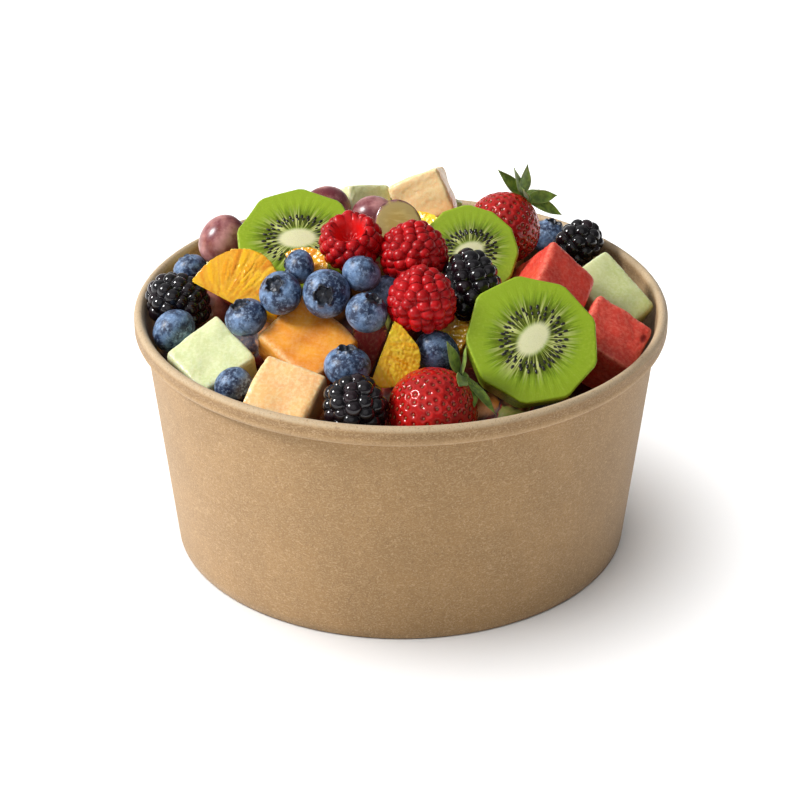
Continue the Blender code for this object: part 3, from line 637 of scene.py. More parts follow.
def raspberry_material():
    """Soft red drupelets with a fine pale down, dull gaps in painted shade, and a bright cup darkened
    downwards by painted shade.
    """
    material, tree, shader = new_material(
        "raspberry_drupelets", specular_ior_level=0.28,
        subsurface_weight=0.15, subsurface_radius=(1.0, 0.25, 0.2), subsurface_scale=1.5 * MM,
    )
    tone = attribute_of(tree, "tone")
    gap = attribute_of(tree, "gap")
    down = noise(tree, place_of(tree), 1.6, 4.0, 0.65)
    colour = blended(tree, tone, (0.33, 0.001, 0.003), (0.52, 0.003, 0.006))
    colour = blended(tree, between(tree, down, 0.52, 0.78, 0, 0.30), colour, (0.62, 0.03, 0.030))
    # Inside the cup, tone is its depth, and painted shade darkens the cup towards its floor.
    inside = blended(tree, between(tree, tone, 0.3, 1.0), (0.84, 0.012, 0.010), (0.50, 0.003, 0.004))
    colour = blended(tree, attribute_of(tree, "cup"), colour, inside)
    # Painted shade in the gaps between drupelets.
    colour = blended(tree, between(tree, gap, 0.2, 0.9, 0, 0.8), colour, (0.14, 0.001, 0.002))
    surfaced(tree, shader, colour, down, 0.05 * MM, 0.5, between(tree, gap, 0.1, 0.7, 0.30, 0.70))
    return material


def add_cluster_berries(kind, berries, taper, size, cupped, flesh, hair, seed):
    """Each berry's drupelets, and a hair at the tip of every drupelet."""
    for i, (radius, length, facing) in enumerate(berries):
        node = f"{kind}_{i + 1}"
        draw = np.random.default_rng(seed + i)
        turn = turned_to(*facing)
        points, values, middles = cluster_points(radius * MM, length * MM, taper, size, cupped, draw)
        placed = seated(points, turn, node)
        faces = ball_faces(CLUSTER_ROWS, CLUSTER_COLUMNS)
        new_piece(f"{node}_drupelets", placed, faces, flesh, [node], values)
        ways = middles / np.linalg.norm(middles, axis=1)[:, None]
        hairs, hair_faces = hair_mesh(middles + 0.35 * size * ways, HAIR_LENGTH, draw)
        shift = placed[-1] - points[-1] @ turn.T
        new_piece(f"{node}_hairs", hairs @ turn.T + shift, hair_faces, hair)


bramble_flesh = bramble_material()
raspberry_flesh = raspberry_material()
bramble_hair = new_material("bramble_hairs", base_color=(0.075, 0.035, 0.022, 1), roughness=0.5)[0]
raspberry_hair = new_material("raspberry_hairs", base_color=(0.42, 0.13, 0.06, 1), roughness=0.6)[0]
add_cluster_berries(
    "dark_bramble_berry", BRAMBLES, BRAMBLE_TAPER, BRAMBLE_DRUPELET, False,
    bramble_flesh, bramble_hair, 300,
)
add_cluster_berries(
    "raspberry", RASPBERRIES, RASPBERRY_TAPER, RASPBERRY_DRUPELET, True,
    raspberry_flesh, raspberry_hair, 310,
)


# Strawberries
# A glossy red skin over pale flesh, set with seeds in small pits, under a ring of green leaves that starts
# from the cut stalk.
STRAWBERRY_ROWS = 170
STRAWBERRY_COLUMNS = 200
SEED_SPACING = 2.65 * MM
SEED_SIZE = (0.36 * MM, 0.26 * MM, 0.58 * MM)  # half its width, thickness and length
SEED_SINK = 0.34 * MM
PIT_SINK = 0.50 * MM
RIM_RISE = 0.10 * MM
LEAF_THICK = 0.22 * MM
LEAF_ROWS = 22
LEAF_COLUMNS = 14
STALK_RADIUS = 1.9 * MM
STALK_HEIGHT = 1.3 * MM
STALK_ROWS = 10
STALK_COLUMNS = 16
# Radius and length in millimetres, then the bearing and rise of the stalk's end
STRAWBERRIES = [(13.0, 30, (30, 42)), (11.5, 26, (35, 45))]
# Each leaf: its bearing round the stalk, its length and width in millimetres, then its rise, upward curl and
# twist in degrees
LEAVES = [
    [
        (165, 12, 5.0, 15, 25, -55), (188, 10, 5.5, 40, 15, -30), (285, 11, 5.5, -28, -15, 30),
        (305, 14, 3.8, -6, -12, 45), (235, 9, 4.6, -22, 0, -5), (20, 9, 4.0, 0, 20, 0),
        (75, 9, 4.2, 5, 20, 0), (120, 10, 4.4, 15, 25, 0),
    ],
    [
        (150, 12, 4.8, 3, 18, -60), (168, 11, 4.6, 18, 25, -50), (150, 10, 5.0, 60, 10, -60),
        (330, 10, 4.8, 45, -5, 60), (330, 13, 4.6, 15, -10, 60), (215, 8, 4.2, 0, 10, -20),
        (30, 9, 4.0, 30, 20, 0), (80, 9, 4.2, 25, 20, 0),
    ],
]


def strawberry_width(share):
    """The skin's radius over a ball's at a share s of the way down: 1 + 0.10 sin(pi s) - 0.42 s squared."""
    return 1 + 0.10 * np.sin(np.pi * share) - 0.42 * share**2


def strawberry_skin(down, turn, radius, length):
    """Places, outward ways and ways along towards the stalk on a heart-like cone, for angles on a ball.

    The share of the way down from the stalk is half of one minus the cosine of the angle from the stalk.
    """
    share = (1 - np.cos(down)) / 2
    wide = strawberry_width(share)
    steeper = (0.10 * np.pi * np.cos(np.pi * share) - 0.84 * share) * np.sin(down) / 2
    slope = radius * (steeper * np.sin(down) + wide * np.cos(down))
    fall = length * np.sin(down) / 2
    flat = np.hypot(slope, fall)
    way_out, way_up = fall / flat, slope / flat
    points = round_z(radius * wide * np.sin(down), turn, (0.5 - share) * length)
    return points, round_z(way_out, turn, way_up), round_z(way_up, turn, -way_out)


def seed_angles(radius, length, draw):
    """Staggered rings of seeds, a spacing apart along the skin and round it, a little jittered."""
    rings = round(0.5 * np.pi * (radius + length / 2) / (0.86 * SEED_SPACING))
    downs, turns = [], []
    for ring in range(1, rings):
        down = np.pi * (ring + 0.3) / rings
        out = radius * strawberry_width((1 - math.cos(down)) / 2) * math.sin(down)
        count = max(3, round(2 * np.pi * out / SEED_SPACING))
        even = 2 * np.pi * (np.arange(count) + 0.5 * (ring % 2)) / count
        turns.append(even + draw.normal(0, 0.03, count))
        downs.append(np.full(count, down) + draw.normal(0, 0.02, count))
    return np.clip(np.concatenate(downs), 0.05, np.pi - 0.05), np.concatenate(turns)


def many_balls(places, ways, along, sizes, rows=4, columns=8):
    """A small oval at each place. sizes are half its width, its thickness along its way, and its length."""
    unit = with_poles(ball_ways(*ball_angles(rows, columns)))
    axes = np.stack([np.cross(ways, along), ways, along], 1)
    points = places[:, None] + np.einsum("pk,nkc->npc", unit * np.array(sizes), axes)
    faces = []
    for corners in (4, 3):
        kind = np.array([face for face in ball_faces(rows, columns) if len(face) == corners])
        first = len(unit) * np.arange(len(places))[:, None, None]
        faces += (kind[None] + first).reshape(-1, corners).tolist()
    return points.reshape(-1, 3), faces


def nearest_two(points, middles):
    """Each point's distances to its nearest and second nearest middle, and the number of the nearest one."""
    squares = (points**2).sum(1)[:, None] - 2 * points @ middles.T + (middles**2).sum(1)
    near, second = np.sqrt(np.maximum(np.partition(squares, 1, axis=1)[:, :2], 0)).T
    return near, second, squares.argmin(1)


def strawberry_points(radius, length, seeds):
    """The skin with slow dents and a faintly rimmed pit at each seed. Also gives its pit and rim values."""
    down, turn = ball_angles(STRAWBERRY_ROWS, STRAWBERRY_COLUMNS)
    points, ways, _ = strawberry_skin(down, turn, radius, length)
    away = nearest_two(points.reshape(-1, 3), seeds)[0].reshape(down.shape)
    pit = np.exp(-((away / (0.74 * MM)) ** 2))
    rim = np.exp(-(((away - 1.12 * MM) / (0.34 * MM)) ** 2))
    dents = 0.25 * MM * np.cos(3 * turn + 1) * np.sin(down) + 0.2 * MM * np.cos(2 * turn) * np.sin(2 * down)
    points += ways * (dents - PIT_SINK * pit + RIM_RISE * rim)[..., None]
    return with_poles(points), {"pit": with_poles(pit), "rim": with_poles(rim)}


def strawberry_material():
    """Red skin in two slow tones, with painted shade in the pits and a painted highlight on their rims,
    under a wet gloss.
    """
    material, tree, shader = new_material(
        "strawberry_skin", roughness=0.20, specular_ior_level=0.28, coat_weight=0.25, coat_roughness=0.10,
        subsurface_weight=0.12, subsurface_radius=(1.0, 0.2, 0.1), subsurface_scale=2 * MM,
    )
    pit = attribute_of(tree, "pit")
    rim = attribute_of(tree, "rim")
    cloud = noise(tree, place_of(tree), 0.18, 3.0)
    fine = noise(tree, place_of(tree), 1.4, 3.0)
    colour = blended(tree, between(tree, cloud, 0.35, 0.65), (0.31, 0.001, 0.002), (0.45, 0.003, 0.003))
    # Painted highlight on the rims of the pits.
    colour = blended(tree, product(tree, rim, 0.18), colour, (0.74, 0.06, 0.04))
    # Painted shade in the pits.
    colour = blended(tree, between(tree, pit, 0.35, 0.9, 0, 0.9), colour, (0.13, 0.002, 0.003))
    surfaced(tree, shader, colour, fine, 0.05 * MM, 0.35)
    return material


def leaf_points(length, width, rise, curl):
    """A pointed leaf as a flattened tube that starts along +X at the rise and bends upwards by the curl.

    Its width is a quarter, and three quarters of the sine of pi times the share to the power 0.8, and runs
    out to a point as one minus the share to the sixth. It is folded along its midrib, and its edges wave.
    """
    share = np.linspace(0.01, 0.99, LEAF_ROWS)[:, None]
    around = 2 * np.pi * np.arange(LEAF_COLUMNS)[None] / LEAF_COLUMNS
    angle = math.radians(rise) + math.radians(curl) * share
    steps = np.diff(share, axis=0, prepend=share[:1]) * length
    out = np.cumsum(steps * np.cos(angle), axis=0)
    up = np.cumsum(steps * np.sin(angle), axis=0)
    half_width = width / 2 * (0.25 + 0.75 * np.sin(np.pi * share**0.8)) * (1 - share**6)
    side = half_width * np.cos(around)
    fold = 0.22 * np.abs(side) + 0.12 * MM * np.sin(9 * share + 2 * np.sign(side))
    lift = LEAF_THICK * (1 - 0.7 * share) * np.sin(around) + fold
    points = np.stack([out - lift * np.sin(angle), side, up + lift * np.cos(angle)], -1)
    return with_poles(points), with_poles(np.abs(np.cos(around)) + 0 * share)


def calyx_mesh(leaves):
    """A calyx's leaves round its short cut stalk. Also gives how near each point is to a leaf's edge."""
    parts = []
    for bearing, length, width, rise, curl, twist in leaves:
        leaf, edge = leaf_points(length * MM, width * MM, rise, curl)
        spine = Vector((math.cos(math.radians(rise)), 0, math.sin(math.radians(rise))))
        leaf = leaf @ np.array(Matrix.Rotation(math.radians(twist), 3, spine)).T
        leaf[:, 0] += 1.2 * MM
        parts.append((leaf @ turned_to(bearing, 90).T, edge, ball_faces(LEAF_ROWS, LEAF_COLUMNS)))
    down, turn = ball_angles(STALK_ROWS, STALK_COLUMNS)
    stalk = with_poles(round_z(STALK_RADIUS * np.sin(down) ** 0.5, turn, STALK_HEIGHT * np.cos(down)))
    parts.append((stalk, np.zeros(len(stalk)), ball_faces(STALK_ROWS, STALK_COLUMNS)))
    points, edges, faces = zip(*parts)
    starts = np.cumsum([0] + [len(part) for part in points])
    joined = [[corner + first for corner in face] for first, part in zip(starts, faces) for face in part]
    return np.vstack(points), joined, np.concatenate(edges)


def leaf_material():
    """Matt green, cloudy between two tones, with paler edges."""
    material, tree, shader = new_material(
        "calyx_leaf", roughness=0.5, specular_ior_level=0.4, sheen_weight=0.2,
        subsurface_weight=0.1, subsurface_scale=1 * MM,
    )
    edge = attribute_of(tree, "edge")
    cloud = noise(tree, place_of(tree), 0.5, 4.0)
    colour = blended(tree, between(tree, cloud, 0.35, 0.65), (0.085, 0.150, 0.013), (0.210, 0.320, 0.035))
    colour = blended(tree, between(tree, edge, 0.85, 1.0, 0, 0.6), colour, (0.42, 0.50, 0.14))
    surfaced(tree, shader, colour, cloud, 0.15 * MM, 0.5)
    return material


strawberry_red = strawberry_material()
seed_yellow = new_material("strawberry_seeds", base_color=(0.30, 0.075, 0.02, 1), roughness=0.3)[0]
leaf_green = leaf_material()
for i, (radius, length, facing) in enumerate(STRAWBERRIES):
    node = f"strawberry_{i + 1}"
    calyx = f"strawberry_calyx_{i + 1}"
    turn = turned_to(*facing)
    size = (radius * MM, length * MM)
    seeds, ways, along = strawberry_skin(*seed_angles(*size, np.random.default_rng(400 + i)), *size)
    points, values = strawberry_points(*size, seeds)
    placed = seated(points, turn, node)
    faces = ball_faces(STRAWBERRY_ROWS, STRAWBERRY_COLUMNS)
    new_piece(f"{node}_skin", placed, faces, strawberry_red, [node], values)
    shift = placed[-1] - points[-1] @ turn.T
    ovals, oval_faces = many_balls(seeds - SEED_SINK * ways, ways, along, SEED_SIZE)
    new_piece(f"{node}_seeds", ovals @ turn.T + shift, oval_faces, seed_yellow)
    leaves, leaf_faces, edge = calyx_mesh(LEAVES[i])
    leaves[:, 2] += 0.5 * length * MM + 0.4 * MM
    leaves = leaves @ turn.T + shift
    new_piece(f"{calyx}_leaves", leaves, leaf_faces, leaf_green, [calyx], {"edge": edge})


# Kiwi slices
# Thick slices of peeled kiwi. The knife has left flats round the outside. Inside, pale rays run out from
# an oval creamy core, through a ring of small black seeds, to paler green flesh at the edge.
KIWI_AROUND = 240
KIWI_EDGE = 0.7 * MM  # radius of the cut's edge
KIWI_RAYS = 34
KIWI_SEEDS = 84
KIWI_SEED_SIZE = (0.40 * MM, 0.26 * MM, 0.85 * MM)  # half its width, thickness and length
# Bearing and rise of the cut face, the spin of the slice, and the turn of its oval core, all in degrees
KIWI_SLICES = [((-92, 60), 10, 85), ((-90, 46), 0, 110), ((-77, 46), 12, 118), ((95, 60), 5, 0)]


def node_points(node, turn):
    """The corners of a node's solid round the middle of its box, turned back to the piece's own axes."""
    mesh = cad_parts[node].data
    places = np.empty(3 * len(mesh.vertices))
    mesh.vertices.foreach_get("co", places)
    return (places.reshape(-1, 3) - node_box(node)[0]) @ turn


def outline_reach(corners, turn):
    """Distance from the axis to the convex outline of some corners, at each angle round the axis.

    It is the least, over a full circle of facings, of the corners' reach that way over the cosine.
    """
    facing = np.linspace(0, 2 * np.pi, 1440, endpoint=False)
    reach = (corners[:, :2] @ np.stack([np.cos(facing), np.sin(facing)])).max(0)
    cosine = np.cos(turn[:, None] - facing)
    return np.where(cosine > 0.2, reach / np.maximum(cosine, 0.2), np.inf).min(1)


def kiwi_points(node, turn, core_angle):
    """Down the middle of the cut face, over a rounded edge, down the side and back to the middle below.

    The face bulges a little towards its core and is scored by fine rays. Each point's polar value holds the
    cosine and sine of its angle and its distance from the middle as a share of the radius. Its core and ring
    values are that share in ovals of two shapes, and its outside value is 1 on the side of the slice.
    """
    corners = node_points(node, turn)
    angle = 2 * np.pi * np.arange(KIWI_AROUND) / KIWI_AROUND
    top = corners[:, 2].max()
    bottom = corners[:, 2].min()
    thick = top - bottom
    edge = outline_reach(corners, angle)
    foot = outline_reach(corners[corners[:, 2] < bottom + 0.25 * thick], angle)
    share = np.linspace(0.02, 1, 64)[:, None]
    bend = np.radians(np.linspace(80, 10, 6))[:, None]
    fall = np.linspace(0.05, 0.95, 14)[:, None]
    rings = (
        (share * (edge - KIWI_EDGE), top),
        (edge - KIWI_EDGE * (1 - np.cos(bend)), top - KIWI_EDGE * (1 - np.sin(bend))),
        (edge + (foot - edge) * fall, top - KIWI_EDGE - (thick - 2 * KIWI_EDGE) * fall),
        (foot - KIWI_EDGE * (1 - np.cos(bend[::-1])), bottom + KIWI_EDGE * (1 - np.sin(bend[::-1]))),
        (share[::-2] * (foot - KIWI_EDGE), bottom),
    )
    out, up = (np.vstack(part) for part in zip(*(np.broadcast_arrays(*ring) for ring in rings)))
    radius = edge.mean()
    polar = out / radius
    rays = np.cos(KIWI_RAYS * angle) * smooth_step(polar, 0.25, 0.45) * smooth_step(1.05 - polar, 0.05, 0.4)
    bulge = 0.45 * MM * np.exp(-((polar / 0.35) ** 2)) + 0.05 * MM * rays
    sunk = 0.20 * MM * np.exp(-(((polar - 0.48) / 0.10) ** 2))
    wave = 0.25 * MM * np.cos(2 * angle + 1) * polar**2
    up = up + (bulge - sunk + wave) * smooth_step(up, bottom + 0.8 * thick, top)
    out = out + 0.18 * MM * np.cos(5 * angle + 8 * up / radius) * smooth_step(polar, 0.9, 1.0)
    across = np.sin(angle - math.radians(core_angle)) ** 2
    from_middle = np.abs(2 * up - top - bottom) / thick
    values = {
        "polar": with_poles(round_z(1, angle, polar)),
        "core": with_poles(polar * np.sqrt(1 + 1.8 * across)),
        "ring": with_poles(polar * np.sqrt(1 + 0.5 * across)),
        "outside": with_poles(smooth_step(from_middle, 1.0, 0.88)),
    }
    return with_poles(round_z(out, angle, up)), values, radius, top, bottom


def kiwi_material():
    """Green flesh in rays round a creamy core, dark green between the seeds, wet."""
    material, tree, shader = new_material(
        "kiwi_flesh", roughness=0.30, specular_ior_level=0.26,
        subsurface_weight=0.15, subsurface_radius=(0.7, 1.0, 0.2), subsurface_scale=1.5 * MM,
    )
    polar = attribute_of(tree, "polar", "Vector")
    core, ring, outside = (attribute_of(tree, name) for name in ("core", "ring", "outside"))
    rays_place, fine_place = (
        add_node(tree, "ShaderNodeMapping", {"Vector": polar, "Scale": scale}).outputs["Vector"]
        for scale in ((9.0, 9.0, 0.6), (22, 22, 2.5))
    )
    rays = noise(tree, rays_place, 1.6, 2.0, 0.5)
    fine = noise(tree, fine_place, 1.5, 3.0, 0.6)
    grain = noise(tree, place_of(tree), 1.2, 3.0)
    ragged = product(tree, fine, 0.12)
    ring = total(tree, ring, ragged)
    core = total(tree, core, ragged)
    flesh = blended(tree, between(tree, fine, 0.36, 0.62), (0.140, 0.240, 0.004), (0.270, 0.400, 0.022))
    flesh = blended(tree, between(tree, ring, 0.72, 1.00), flesh, (0.290, 0.420, 0.020))
    shade = product(tree, between(tree, ring, 0.26, 0.40), between(tree, ring, 0.84, 0.54))
    dark = blended(tree, between(tree, rays, 0.42, 0.60), (0.035, 0.045, 0.002), (0.180, 0.215, 0.012))
    flesh = blended(tree, product(tree, shade, 0.92), flesh, dark)
    pale_rays = product(tree, between(tree, rays, 0.52, 0.58), between(tree, ring, 0.95, 0.45))
    pale_rays = product(tree, pale_rays, between(tree, ring, 0.28, 0.46, 0.25, 0.90))
    flesh = blended(tree, pale_rays, flesh, (0.60, 0.64, 0.24))
    flesh = blended(tree, between(tree, core, 0.44, 0.30), flesh, (0.74, 0.73, 0.44))
    flesh = blended(tree, between(tree, grain, 0.55, 0.75, 0, 0.22), flesh, (0.50, 0.58, 0.10))
    rind = blended(tree, between(tree, grain, 0.35, 0.65), (0.19, 0.29, 0.006), (0.36, 0.46, 0.04))
    colour = blended(tree, outside, flesh, rind)
    surfaced(tree, shader, colour, total(tree, fine, grain), 0.12 * MM, 0.5)
    return material


def kiwi_seeds(radius, height, core_angle, facing_up, draw):
    """Places and ways of seeds in an oval ring round the core, at three distances in turn, jittered."""
    number = np.arange(KIWI_SEEDS)
    angle = 2 * np.pi * (number + draw.uniform(-0.3, 0.3, KIWI_SEEDS)) / KIWI_SEEDS
    oval = np.sqrt(1 + 0.5 * np.sin(angle - math.radians(core_angle)) ** 2)
    share = (0.39 + 0.080 * (number % 3) + draw.uniform(-0.02, 0.02, KIWI_SEEDS)) / oval
    places = round_z(share * radius, angle, height - 0.05 * MM * facing_up)
    ways = np.tile([0.0, 0.0, facing_up], (KIWI_SEEDS, 1))
    return places, ways, round_z(1, angle, 0)


kiwi_flesh = kiwi_material()
kiwi_seed = new_material("kiwi_seeds", base_color=(0.012, 0.009, 0.008, 1), roughness=0.28)[0]
for i, (facing, spin, core_angle) in enumerate(KIWI_SLICES):
    node = f"kiwi_slice_{i + 1}"
    turn = turned_to(*facing, spin)
    draw = np.random.default_rng(500 + i)
    points, values, radius, top, bottom = kiwi_points(node, turn, core_angle)
    middle = node_box(node)[0]
    faces = ball_faces((len(points) - 2) // KIWI_AROUND, KIWI_AROUND)
    new_piece(f"{node}_flesh", points @ turn.T + middle, faces, kiwi_flesh, [node], values)
    above = kiwi_seeds(radius, top, core_angle, 1.0, draw)
    below = kiwi_seeds(0.95 * radius, bottom, core_angle, -1.0, draw)
    ovals, oval_faces = many_balls(*(np.vstack(pair) for pair in zip(above, below)), KIWI_SEED_SIZE)
    new_piece(f"{node}_seeds", ovals @ turn.T + middle, oval_faces, kiwi_seed)


# Melon cubes
# Cubes cut by hand from melon flesh, their edges worn round. Cantaloupe is orange, honeydew is pale green,
# and watermelon is red and grainy, with small hollows that its seeds have left.
CUBE_CELLS = 36
CUBE_SHARPNESS = 64
KNIFE_WAVE = 0.17 * MM
EDGE_PALING_WIDTH = 1.3 * MM
HOLLOW_WIDTH = 1.1 * MM
HOLLOW_DEPTH = 0.6 * MM
# The bearing, rise and spin of each cube, then how pale its flesh is
CANTALOUPE_CUBES = [
    (-88, 56, 42, 0.05), (-96, 55, -20, 0.7), (-100, 20, 24, 1.0), (130, 50, 30, 0.3), (70, 50, 10, 0.5),
]
HONEYDEW_CUBES = [(-100, 62, 45, 0.7), (-60, 55, 15, 0.4), (100, 60, 20, 0.6), (150, 50, 40, 0.3)]
WATERMELON_CUBES = [(-35, 44, 20, 0.18), (-50, 55, 30, 0.25), (40, 60, 15, 0.3), (120, 50, 15, 0.1)]
# Each melon's cubes, the height of its grain, the hollows in a cube, its first seed and how frosted it is,
# then its deep, usual and pale colours and the rind colour, painted as shade on the side away from the
# window
MELONS = {
    "cantaloupe": (
        (CANTALOUPE_CUBES, 0.05 * MM, 0, 600, 0.48),
        ((0.84, 0.26, 0.006), (0.94, 0.37, 0.018), (1.00, 0.82, 0.48), (0.80, 0.27, 0.015)),
    ),
    "honeydew": (
        (HONEYDEW_CUBES, 0.05 * MM, 0, 620, 0.50),
        ((0.48, 0.55, 0.14), (0.60, 0.66, 0.25), (0.88, 0.90, 0.62), (0.50, 0.48, 0.06)),
    ),
    "watermelon": (
        (WATERMELON_CUBES, 0.09 * MM, 2, 640, 0.80),
        ((0.58, 0.006, 0.004), (0.76, 0.024, 0.012), (0.98, 0.30, 0.20), (0.62, 0.05, 0.02)),
    ),
}
SHADED_SIDE_WAY = np.array([0.80, -0.25, -0.55])  # painted shade in the rind colour falls on the side that faces this way, away from the window


def cube_grid(cells):
    """Points over the surface of a cube from -1 to 1, closer together near its edges, and its faces."""
    steps = np.arange(cells + 1)
    first, second = np.meshgrid(steps, steps, indexing="ij")
    corner = np.arange((cells + 1) ** 2).reshape(cells + 1, cells + 1)
    quads = [corner[:-1, :-1], corner[1:, :-1], corner[1:, 1:], corner[:-1, 1:]]
    quads = np.stack(quads, -1).reshape(-1, 4)
    lattice, faces = [], []
    for axis in range(3):
        for end in (0, cells):
            side = np.full((cells + 1, cells + 1, 3), end)
            side[..., (axis + 1) % 3] = first
            side[..., (axis + 2) % 3] = second
            faces.append((quads if end else quads[:, ::-1]) + len(lattice) * corner.size)
            lattice.append(side.reshape(-1, 3))
    shared, index = np.unique(np.vstack(lattice), axis=0, return_inverse=True)
    share = 2 * shared / cells - 1
    return 0.5 * share + 0.5 * np.sin(np.pi / 2 * share), index.ravel()[np.vstack(faces)]


def node_planes(node, turn):
    """A convex solid's flat sides in the piece's own axes: ways, distances, and a middle inside it."""
    corners = node_points(node, turn)
    middle = corners.mean(0)
    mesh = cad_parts[node].data
    mesh.calc_loop_triangles()
    triangles = np.empty(3 * len(mesh.loop_triangles), int)
    mesh.loop_triangles.foreach_get("vertices", triangles)
    first, second, third = (corners[triangles[k::3]] - middle for k in range(3))
    planes = np.cross(second - first, third - first)
    area = np.linalg.norm(planes, axis=1)
    real = area > 0.02 * MM**2
    planes = planes[real] / area[real, None]
    distances = (planes * first[real]).sum(1)
    _, kept = np.unique(np.round(planes, 3), axis=0, return_index=True)
    return planes[kept], distances[kept], middle


def rounded_reach(ways, planes, distances, sharpness):
    """How far each way runs inside some flat sides with rounded edges, and the way the surface faces there.

    One over the reach is a sum over the sides of (cosine over distance) to the power of the sharpness,
    under the same root. A side that has others close to its facing counts for less.
    """
    weight = 1 / (np.maximum(planes @ planes.T, 0) ** sharpness).sum(1)
    slopes = planes / distances[:, None]
    share = np.maximum(ways @ slopes.T, 0)
    largest = share.max(1, keepdims=True)
    power = (share / largest) ** sharpness * weight
    reach = 1 / (largest[:, 0] * power.sum(1) ** (1 / sharpness))
    facing = (power / np.maximum(share, 1e-9)) @ slopes
    return reach, facing / np.linalg.norm(facing, axis=1)[:, None]


def ripples(points, size, draw, count=12):
    """A sum of plane waves with random ways and phases, about size long. Its values lie around -1 to 1."""
    ways = draw.normal(0, 1, (count, 3))
    ways *= 2 * np.pi / size / np.linalg.norm(ways, axis=1)[:, None] * draw.uniform(0.7, 1.4, (count, 1))
    return np.sin(points @ ways.T + draw.uniform(0, 2 * np.pi, count)).sum(1) / math.sqrt(count)


def node_ways(node, turn, shape):
    """Unit ways from a solid's middle, spread as the points of a shape are when drawn to its size."""
    corners = node_points(node, turn)
    ways = shape * (corners.max(0) - corners.min(0))
    return ways / np.linalg.norm(ways, axis=1)[:, None]


def cube_points(node, turn, draw, grain, hollows):
    """A hand-cut cube: slow knife waves, a fine grain, and seed hollows of about two millimetres.

    The edge value falls off from 1 with the distance to the nearest of the other flat sides.
    """
    grid, faces = cube_grid(CUBE_CELLS)
    planes, distances, middle = node_planes(node, turn)
    ways = node_ways(node, turn, grid)
    reach, facing = rounded_reach(ways, planes, distances, CUBE_SHARPNESS)
    depths = distances - (ways * reach[:, None]) @ planes.T
    other_sides = planes[depths.argmin(1)] @ planes.T < 0.8
    edge = np.exp(-np.where(other_sides, depths, np.inf).min(1) / EDGE_PALING_WIDTH)
    points = ways * reach[:, None] + middle
    hollow = np.zeros(len(points))
    for _ in range(hollows):
        spot = points[draw.integers(len(points))]
        hollow += np.exp(-(((points - spot) * (1.0, 0.6, 0.8) / HOLLOW_WIDTH) ** 2).sum(1))
    rise = KNIFE_WAVE * ripples(points, 9 * MM, draw) + grain * ripples(points, 1.6 * MM, draw, 24)
    points = points + facing * (rise - 0.1 * MM - HOLLOW_DEPTH * hollow)[:, None]
    return points, faces, {"hollow": hollow, "edge": edge}


def melon_material(name, frosting, deep, flesh, pale, rind):
    """Wet flesh in two cloudy tones, frosted with pale cells and streaks of fibre, paler along the edges,
    and painted shade in the rind colour and the seed hollows.
    """
    material, tree, shader = new_material(
        name, roughness=0.38, specular_ior_level=0.26, coat_weight=0.22, coat_roughness=0.12,
        subsurface_weight=0.25, subsurface_radius=(1.0, 0.6, 0.35), subsurface_scale=2.0 * MM,
    )
    keys = ("pale", "rind", "hollow", "edge")
    paleness, shaded_side, hollow, edge = (attribute_of(tree, key) for key in keys)
    cloud = noise(tree, place_of(tree), 0.14, 3.0)
    cells = noise(tree, place_of(tree), 0.95, 4.0, 0.68)
    streaks = noise(tree, place_of(tree, (0.35, 1.3, 1.3), (20, 30, 40)), 1.1, 3.0, 0.6)
    frost = between(tree, paleness, 0, 1, 0.25 * frosting, frosting)
    # The flesh is paler along the cube's edges.
    edge_paling = between(tree, edge, 0.25, 0.95, 0, 0.50)
    colour = blended(tree, between(tree, cloud, 0.32, 0.68), deep, flesh)
    colour = blended(tree, product(tree, paleness, 0.60), colour, pale)
    colour = blended(tree, between(tree, streaks, 0.50, 0.85, 0, 0.20), colour, pale)
    colour = blended(tree, product(tree, between(tree, cells, 0.42, 0.62), frost), colour, pale)
    colour = blended(tree, product(tree, between(tree, cells, 0.30, 0.55), edge_paling), colour, pale)
    # Painted shade: the rind colour darkens the side away from the window.
    colour = blended(tree, shaded_side, colour, rind)
    # Painted shade: the seed hollows are darkened.
    colour = blended(tree, between(tree, hollow, 0.1, 0.8, 0, 0.85), colour, [0.35 * part for part in deep])
    surfaced(tree, shader, colour, total(tree, cells, streaks), 0.10 * MM, 0.5)
    return material


for melon, ((cubes, grain, hollows, seed, frosting), colours) in MELONS.items():
    flesh = melon_material(f"{melon}_flesh", frosting, *colours)
    for i, (*facing, paleness) in enumerate(cubes):
        node = f"{melon}_cube_{i + 1}"
        turn = turned_to(*facing)
        points, faces, values = cube_points(node, turn, np.random.default_rng(seed + i), grain, hollows)
        middle, edges = node_box(node)
        points = points @ turn.T
        # The rind value is painted shade: it grows towards one fixed way, away from the window, on every
        # cube.
        values["rind"] = smooth_step(points @ SHADED_SIDE_WAY / edges.max(), 0.12, 0.62)
        values["pale"] = np.full(len(points), paleness)
        new_piece(f"{node}_flesh", points + middle, faces, flesh, [node], values)


# Orange segments
# Wedges of peeled orange. Long juice sacs run out in a fan from the thin inner edge to the round outer
# side, which has a ragged pale skin. The sacs are plump, and the walls between them are thin and pale.
SEGMENT_ROWS = 110
SEGMENT_COLUMNS = 160
SAC_WIDTH = 1.6 * MM
SAC_LENGTH = 10.0 * MM
SAC_RISE = 0.14 * MM
SEGMENT_SHARPNESS = 30
# The bearing, rise and spin of each segment, then how yellow it is
ORANGE_SEGMENTS = [
    (-88, 44, 150, 0.15), (-60, 10, 60, 0.9), (-90, 50, 90, 0.9), (-90, 60, 120, 0.2), (-90, 40, 90, 0.3),
    (100, 50, 30, 0.2),
]


